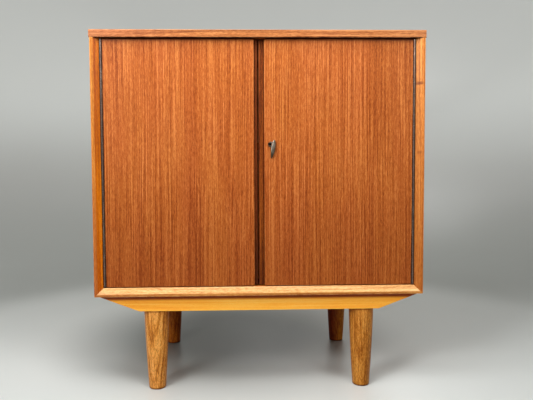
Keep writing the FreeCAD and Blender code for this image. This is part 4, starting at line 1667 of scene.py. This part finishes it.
@dataclass
class Studio:
    """A pale floor that rises into a round backdrop, the lamps and the camera."""

    floor_radius: float = 1.3
    cove_radius: float = 1.1
    wall_rise: float = 1.7
    cove_steps: int = 12
    floor_sides: int = 128
    floor_colour: Colour = srgb(224, 229, 227)
    # Painted shadow on the floor round the place under the cabinet.
    floor_shadow_colour: Colour = srgb(104, 108, 106)
    shaded_place: tuple[float, float] = (-0.08, 0.24)
    shaded_reach: tuple[float, float] = (0.16, 0.62)
    # Painted shade where the floor meets the wall behind.
    corner_shade_colour: Colour = srgb(188, 193, 190)
    corner_shade_reach: tuple[float, float] = (1.0, 1.32)
    back_reach: tuple[float, float] = (0.2, 0.9)
    wall_colour: Colour = srgb(214, 218, 216)
    wall_reach: tuple[float, float] = (0.02, 0.5)
    bounce_colour: Colour = srgb(142, 133, 118)
    glow_colour: Colour = srgb(120, 123, 122)
    glow_reach: tuple[float, float] = (0.4, 1.0)
    cloud: Layer = Layer((2.2, 2.2, 2.2), detail=3.0)
    cloud_shade: float = 0.06
    cloud_dullness: float = 0.1
    floor_roughness: float = 0.32
    sky_colour: Colour = srgb(240, 242, 244)
    sky_strength: float = 0.16
    camera_place: Triple = (-0.0542, -1.5143, 0.5630)
    yaw: float = math.radians(1.685)
    pitch: float = math.radians(2.951)
    roll: float = math.radians(-0.285)
    sensor: float = 36.0
    lens: float = 36.53
    nearest: float = 0.05
    shift: tuple[float, float] = (0.0254, -0.0187)
    lamps: tuple[Softbox, ...] = (
        Softbox("ceiling_softbox", (-0.2, -0.75, 1.52), (-0.02, -0.2, 0.8), (1.4, 0.5), watts=18.5),
        Softbox("left_softbox", (-1.3, -1.75, 1.45), (0.0, -0.2, 0.62), (0.6, 0.6), watts=30.0),
        Softbox("right_softbox", (1.25, -1.7, 1.35), (0.0, -0.2, 0.62), (0.6, 0.6), watts=9.5),
        Softbox("rear_softbox", (0.5, 1.9, 1.5), (0.0, 0.2, 0.5), (1.2, 0.8), watts=9.5),
    )

    def build(self) -> None:
        """Set up everything round the cabinet."""
        self.lay_floor()
        self.light()
        self.set_camera()
        bpy.context.scene.view_settings.view_transform = "Standard"

    def lay_floor(self) -> None:
        """Make the floor with its cove and wall."""
        bpy.ops.mesh.primitive_circle_add(
            vertices=self.floor_sides, radius=self.floor_radius, fill_type="NGON", location=(0.0, 0.0, 0.0)
        )
        floor = bpy.context.object
        floor.name = "studio_floor"
        stations = []
        for step in range(self.cove_steps + 1):
            turn = QUARTER_TURN * step / self.cove_steps
            radius = self.floor_radius + self.cove_radius * math.sin(turn)
            stations.append((radius, self.cove_radius * (1.0 - math.cos(turn))))
        radius, height = stations[-1]
        stations.append((radius, height + self.wall_rise))
        with editing(floor):
            select_edges(floor, lambda edge: edge.is_boundary)
            draw_up(Vector(), stations, bpy.ops.mesh.extrude_edges_move)
            bpy.ops.mesh.select_all(action="SELECT")
            bpy.ops.mesh.normals_make_consistent(inside=True)
        choose(floor)
        bpy.ops.object.shade_smooth_by_angle(angle=SMOOTH_ANGLE)
        put_on(floor, self.floor_material())

    def floor_material(self) -> Material:
        """The floor's pale paint, with a painted shadow under the cabinet, painted shade along the back and
        a painted glow up the wall, which shows nothing from underneath.
        """
        material, sheet, shader = fresh_material("pale_floor")
        place = sheet.place()
        cloud = sheet.noise(place, self.cloud)
        x, y, height = sheet.axes(place)
        # Painted shadow pooled on the floor under the cabinet.
        side = sheet.math("SUBTRACT", x, self.shaded_place[0])
        deep = sheet.math("SUBTRACT", y, self.shaded_place[1])
        around = sheet.math("MULTIPLY_ADD", side, side, sheet.times(deep, deep))
        open_floor = sheet.remap(sheet.math("SQRT", around), *self.shaded_reach)
        paint = sheet.mix(open_floor, self.floor_shadow_colour, self.floor_colour)
        # Painted shade along the back of the floor, where it meets the wall.
        far = sheet.length(sheet.vector("MULTIPLY", place, LEVEL))
        behind = sheet.remap(y, *self.back_reach)
        corner_shade = sheet.times(sheet.remap(far, *self.corner_shade_reach), behind)
        paint = sheet.mix(corner_shade, paint, self.corner_shade_colour)
        paint = sheet.mix(sheet.remap(height, *self.wall_reach), paint, self.wall_colour)
        paint = sheet.mix(sheet.times(cloud, self.cloud_shade), paint, BLACK)
        path = sheet.node("LightPath").outputs
        seen = sheet.math("MAXIMUM", path["Is Camera Ray"], path["Is Glossy Ray"])
        paint = sheet.mix(seen, self.bounce_colour, paint)
        glowing = sheet.times(seen, sheet.remap(height, *self.glow_reach))
        glow = sheet.mix(glowing, BLACK, self.glow_colour)
        sheet.feed(shader.inputs["Emission Color"], glow)
        shader.inputs["Emission Strength"].default_value = 1.0
        sheet.feed(shader.inputs["Base Color"], paint)
        dull = sheet.weighed(self.floor_roughness, (cloud, self.cloud_dullness))
        sheet.feed(shader.inputs["Roughness"], dull)
        turned_away = sheet.node("NewGeometry").outputs["Backfacing"]
        clear = sheet.node("BsdfTransparent").outputs[0]
        mixed = sheet.node("MixShader")
        sheet.feed_all(mixed.inputs, (turned_away, shader.outputs[0], clear))
        output = material.node_tree.nodes["Material Output"]
        sheet.feed(output.inputs["Surface"], mixed.outputs[0])
        return material

    def light(self) -> None:
        """Hang the lamps and set the soft light from all round."""
        for lamp in self.lamps:
            lamp.hang()
        world = bpy.data.worlds.new("studio_world")
        world.use_nodes = True
        sky = world.node_tree.nodes["Background"]
        sky.inputs["Color"].default_value = self.sky_colour
        sky.inputs["Strength"].default_value = self.sky_strength
        bpy.context.scene.world = world

    def set_camera(self) -> None:
        """Place the camera in front of the cabinet."""
        data = bpy.data.cameras.new("camera")
        data.sensor_fit = "HORIZONTAL"
        data.sensor_width = self.sensor
        data.lens = self.lens
        data.shift_x, data.shift_y = self.shift
        data.clip_start = self.nearest
        camera = bpy.data.objects.new("camera", data)
        heading = Matrix.Rotation(-self.yaw, 4, "Z") @ Matrix.Rotation(QUARTER_TURN - self.pitch, 4, "X")
        aimed = Matrix.Translation(self.camera_place) @ heading
        camera.matrix_world = aimed @ Matrix.Rotation(self.roll, 4, "Z")
        bpy.context.scene.collection.objects.link(camera)
        bpy.context.scene.camera = camera


LEFT_HEART = (
    HeartStreak(-0.158, 0.026, -0.09),
    HeartStreak(-0.112, 0.018, 0.07),
    HeartStreak(-0.345, 0.012, -0.05),
)
RIGHT_HEART = (
    HeartStreak(0.285, 0.024, -0.08),
    HeartStreak(0.243, 0.012, 0.09),
    HeartStreak(0.028, 0.010, 0.10),
    HeartStreak(0.352, 0.016, -0.01),
)
# Painted shade on the rear right leg's left side and painted light on its right side.
REAR_RIGHT_LIGHT_AND_SHADE = (
    Fade(Axis.X, 0.262, 0.238, (0.55, 0.26, 0.30, 1.0)),
    Fade(Axis.X, 0.254, 0.282, (1.60, 2.30, 0.90, 1.0)),
)


def main() -> None:
    """Build the cabinet's looks and the studio."""
    logging.basicConfig(level=logging.INFO)
    parts = [
        Carcass(),
        Interior(),
        Door(
            hand=Hand.LEFT,
            seed=21.0,
            strip_seed=22.0,
            heart=LEFT_HEART,
            strip_wood=DARK_STRIP,
            strip_groove_shade=Fade(Axis.X, -0.0096, -0.0120, GROOVE_SHADE),
            gap_shadow=Fade(Axis.X, -0.0055, -0.0042, SHADOW),
            hinge_edge_shade=Fade(Axis.X, -0.3711, -0.3724, HINGE_EDGE_SHADE),
        ),
        Door(
            hand=Hand.RIGHT,
            seed=22.7,
            strip_seed=23.7,
            heart=RIGHT_HEART,
            strip_wood=BROWN_STRIP,
            strip_groove_shade=Fade(Axis.X, 0.0090, 0.0115, GROOVE_SHADE),
            gap_shadow=Fade(Axis.X, 0.0016, -0.0004, SHADOW),
            hinge_edge_shade=Fade(Axis.X, 0.3725, 0.3735, HINGE_EDGE_SHADE),
        ),
        SlideBolts(),
        Lock(),
        FoldingKey(),
        Base(),
        TurnedLeg("front_left", OAK, seed=31.0, figure=0.5),
        TurnedLeg("front_right", OAK_HALF_SHADE, seed=32.1, figure=0.2),
        TurnedLeg("rear_left", OAK_IN_SHADE, seed=33.2, figure=0.3),
        TurnedLeg("rear_right", OAK_IN_SHADE, seed=34.3, figure=0.3, sides_light_and_shade=REAR_RIGHT_LIGHT_AND_SHADE),
        Studio(),
    ]
    for part in parts:
        part.build()


if __name__ == "__main__":
    main()
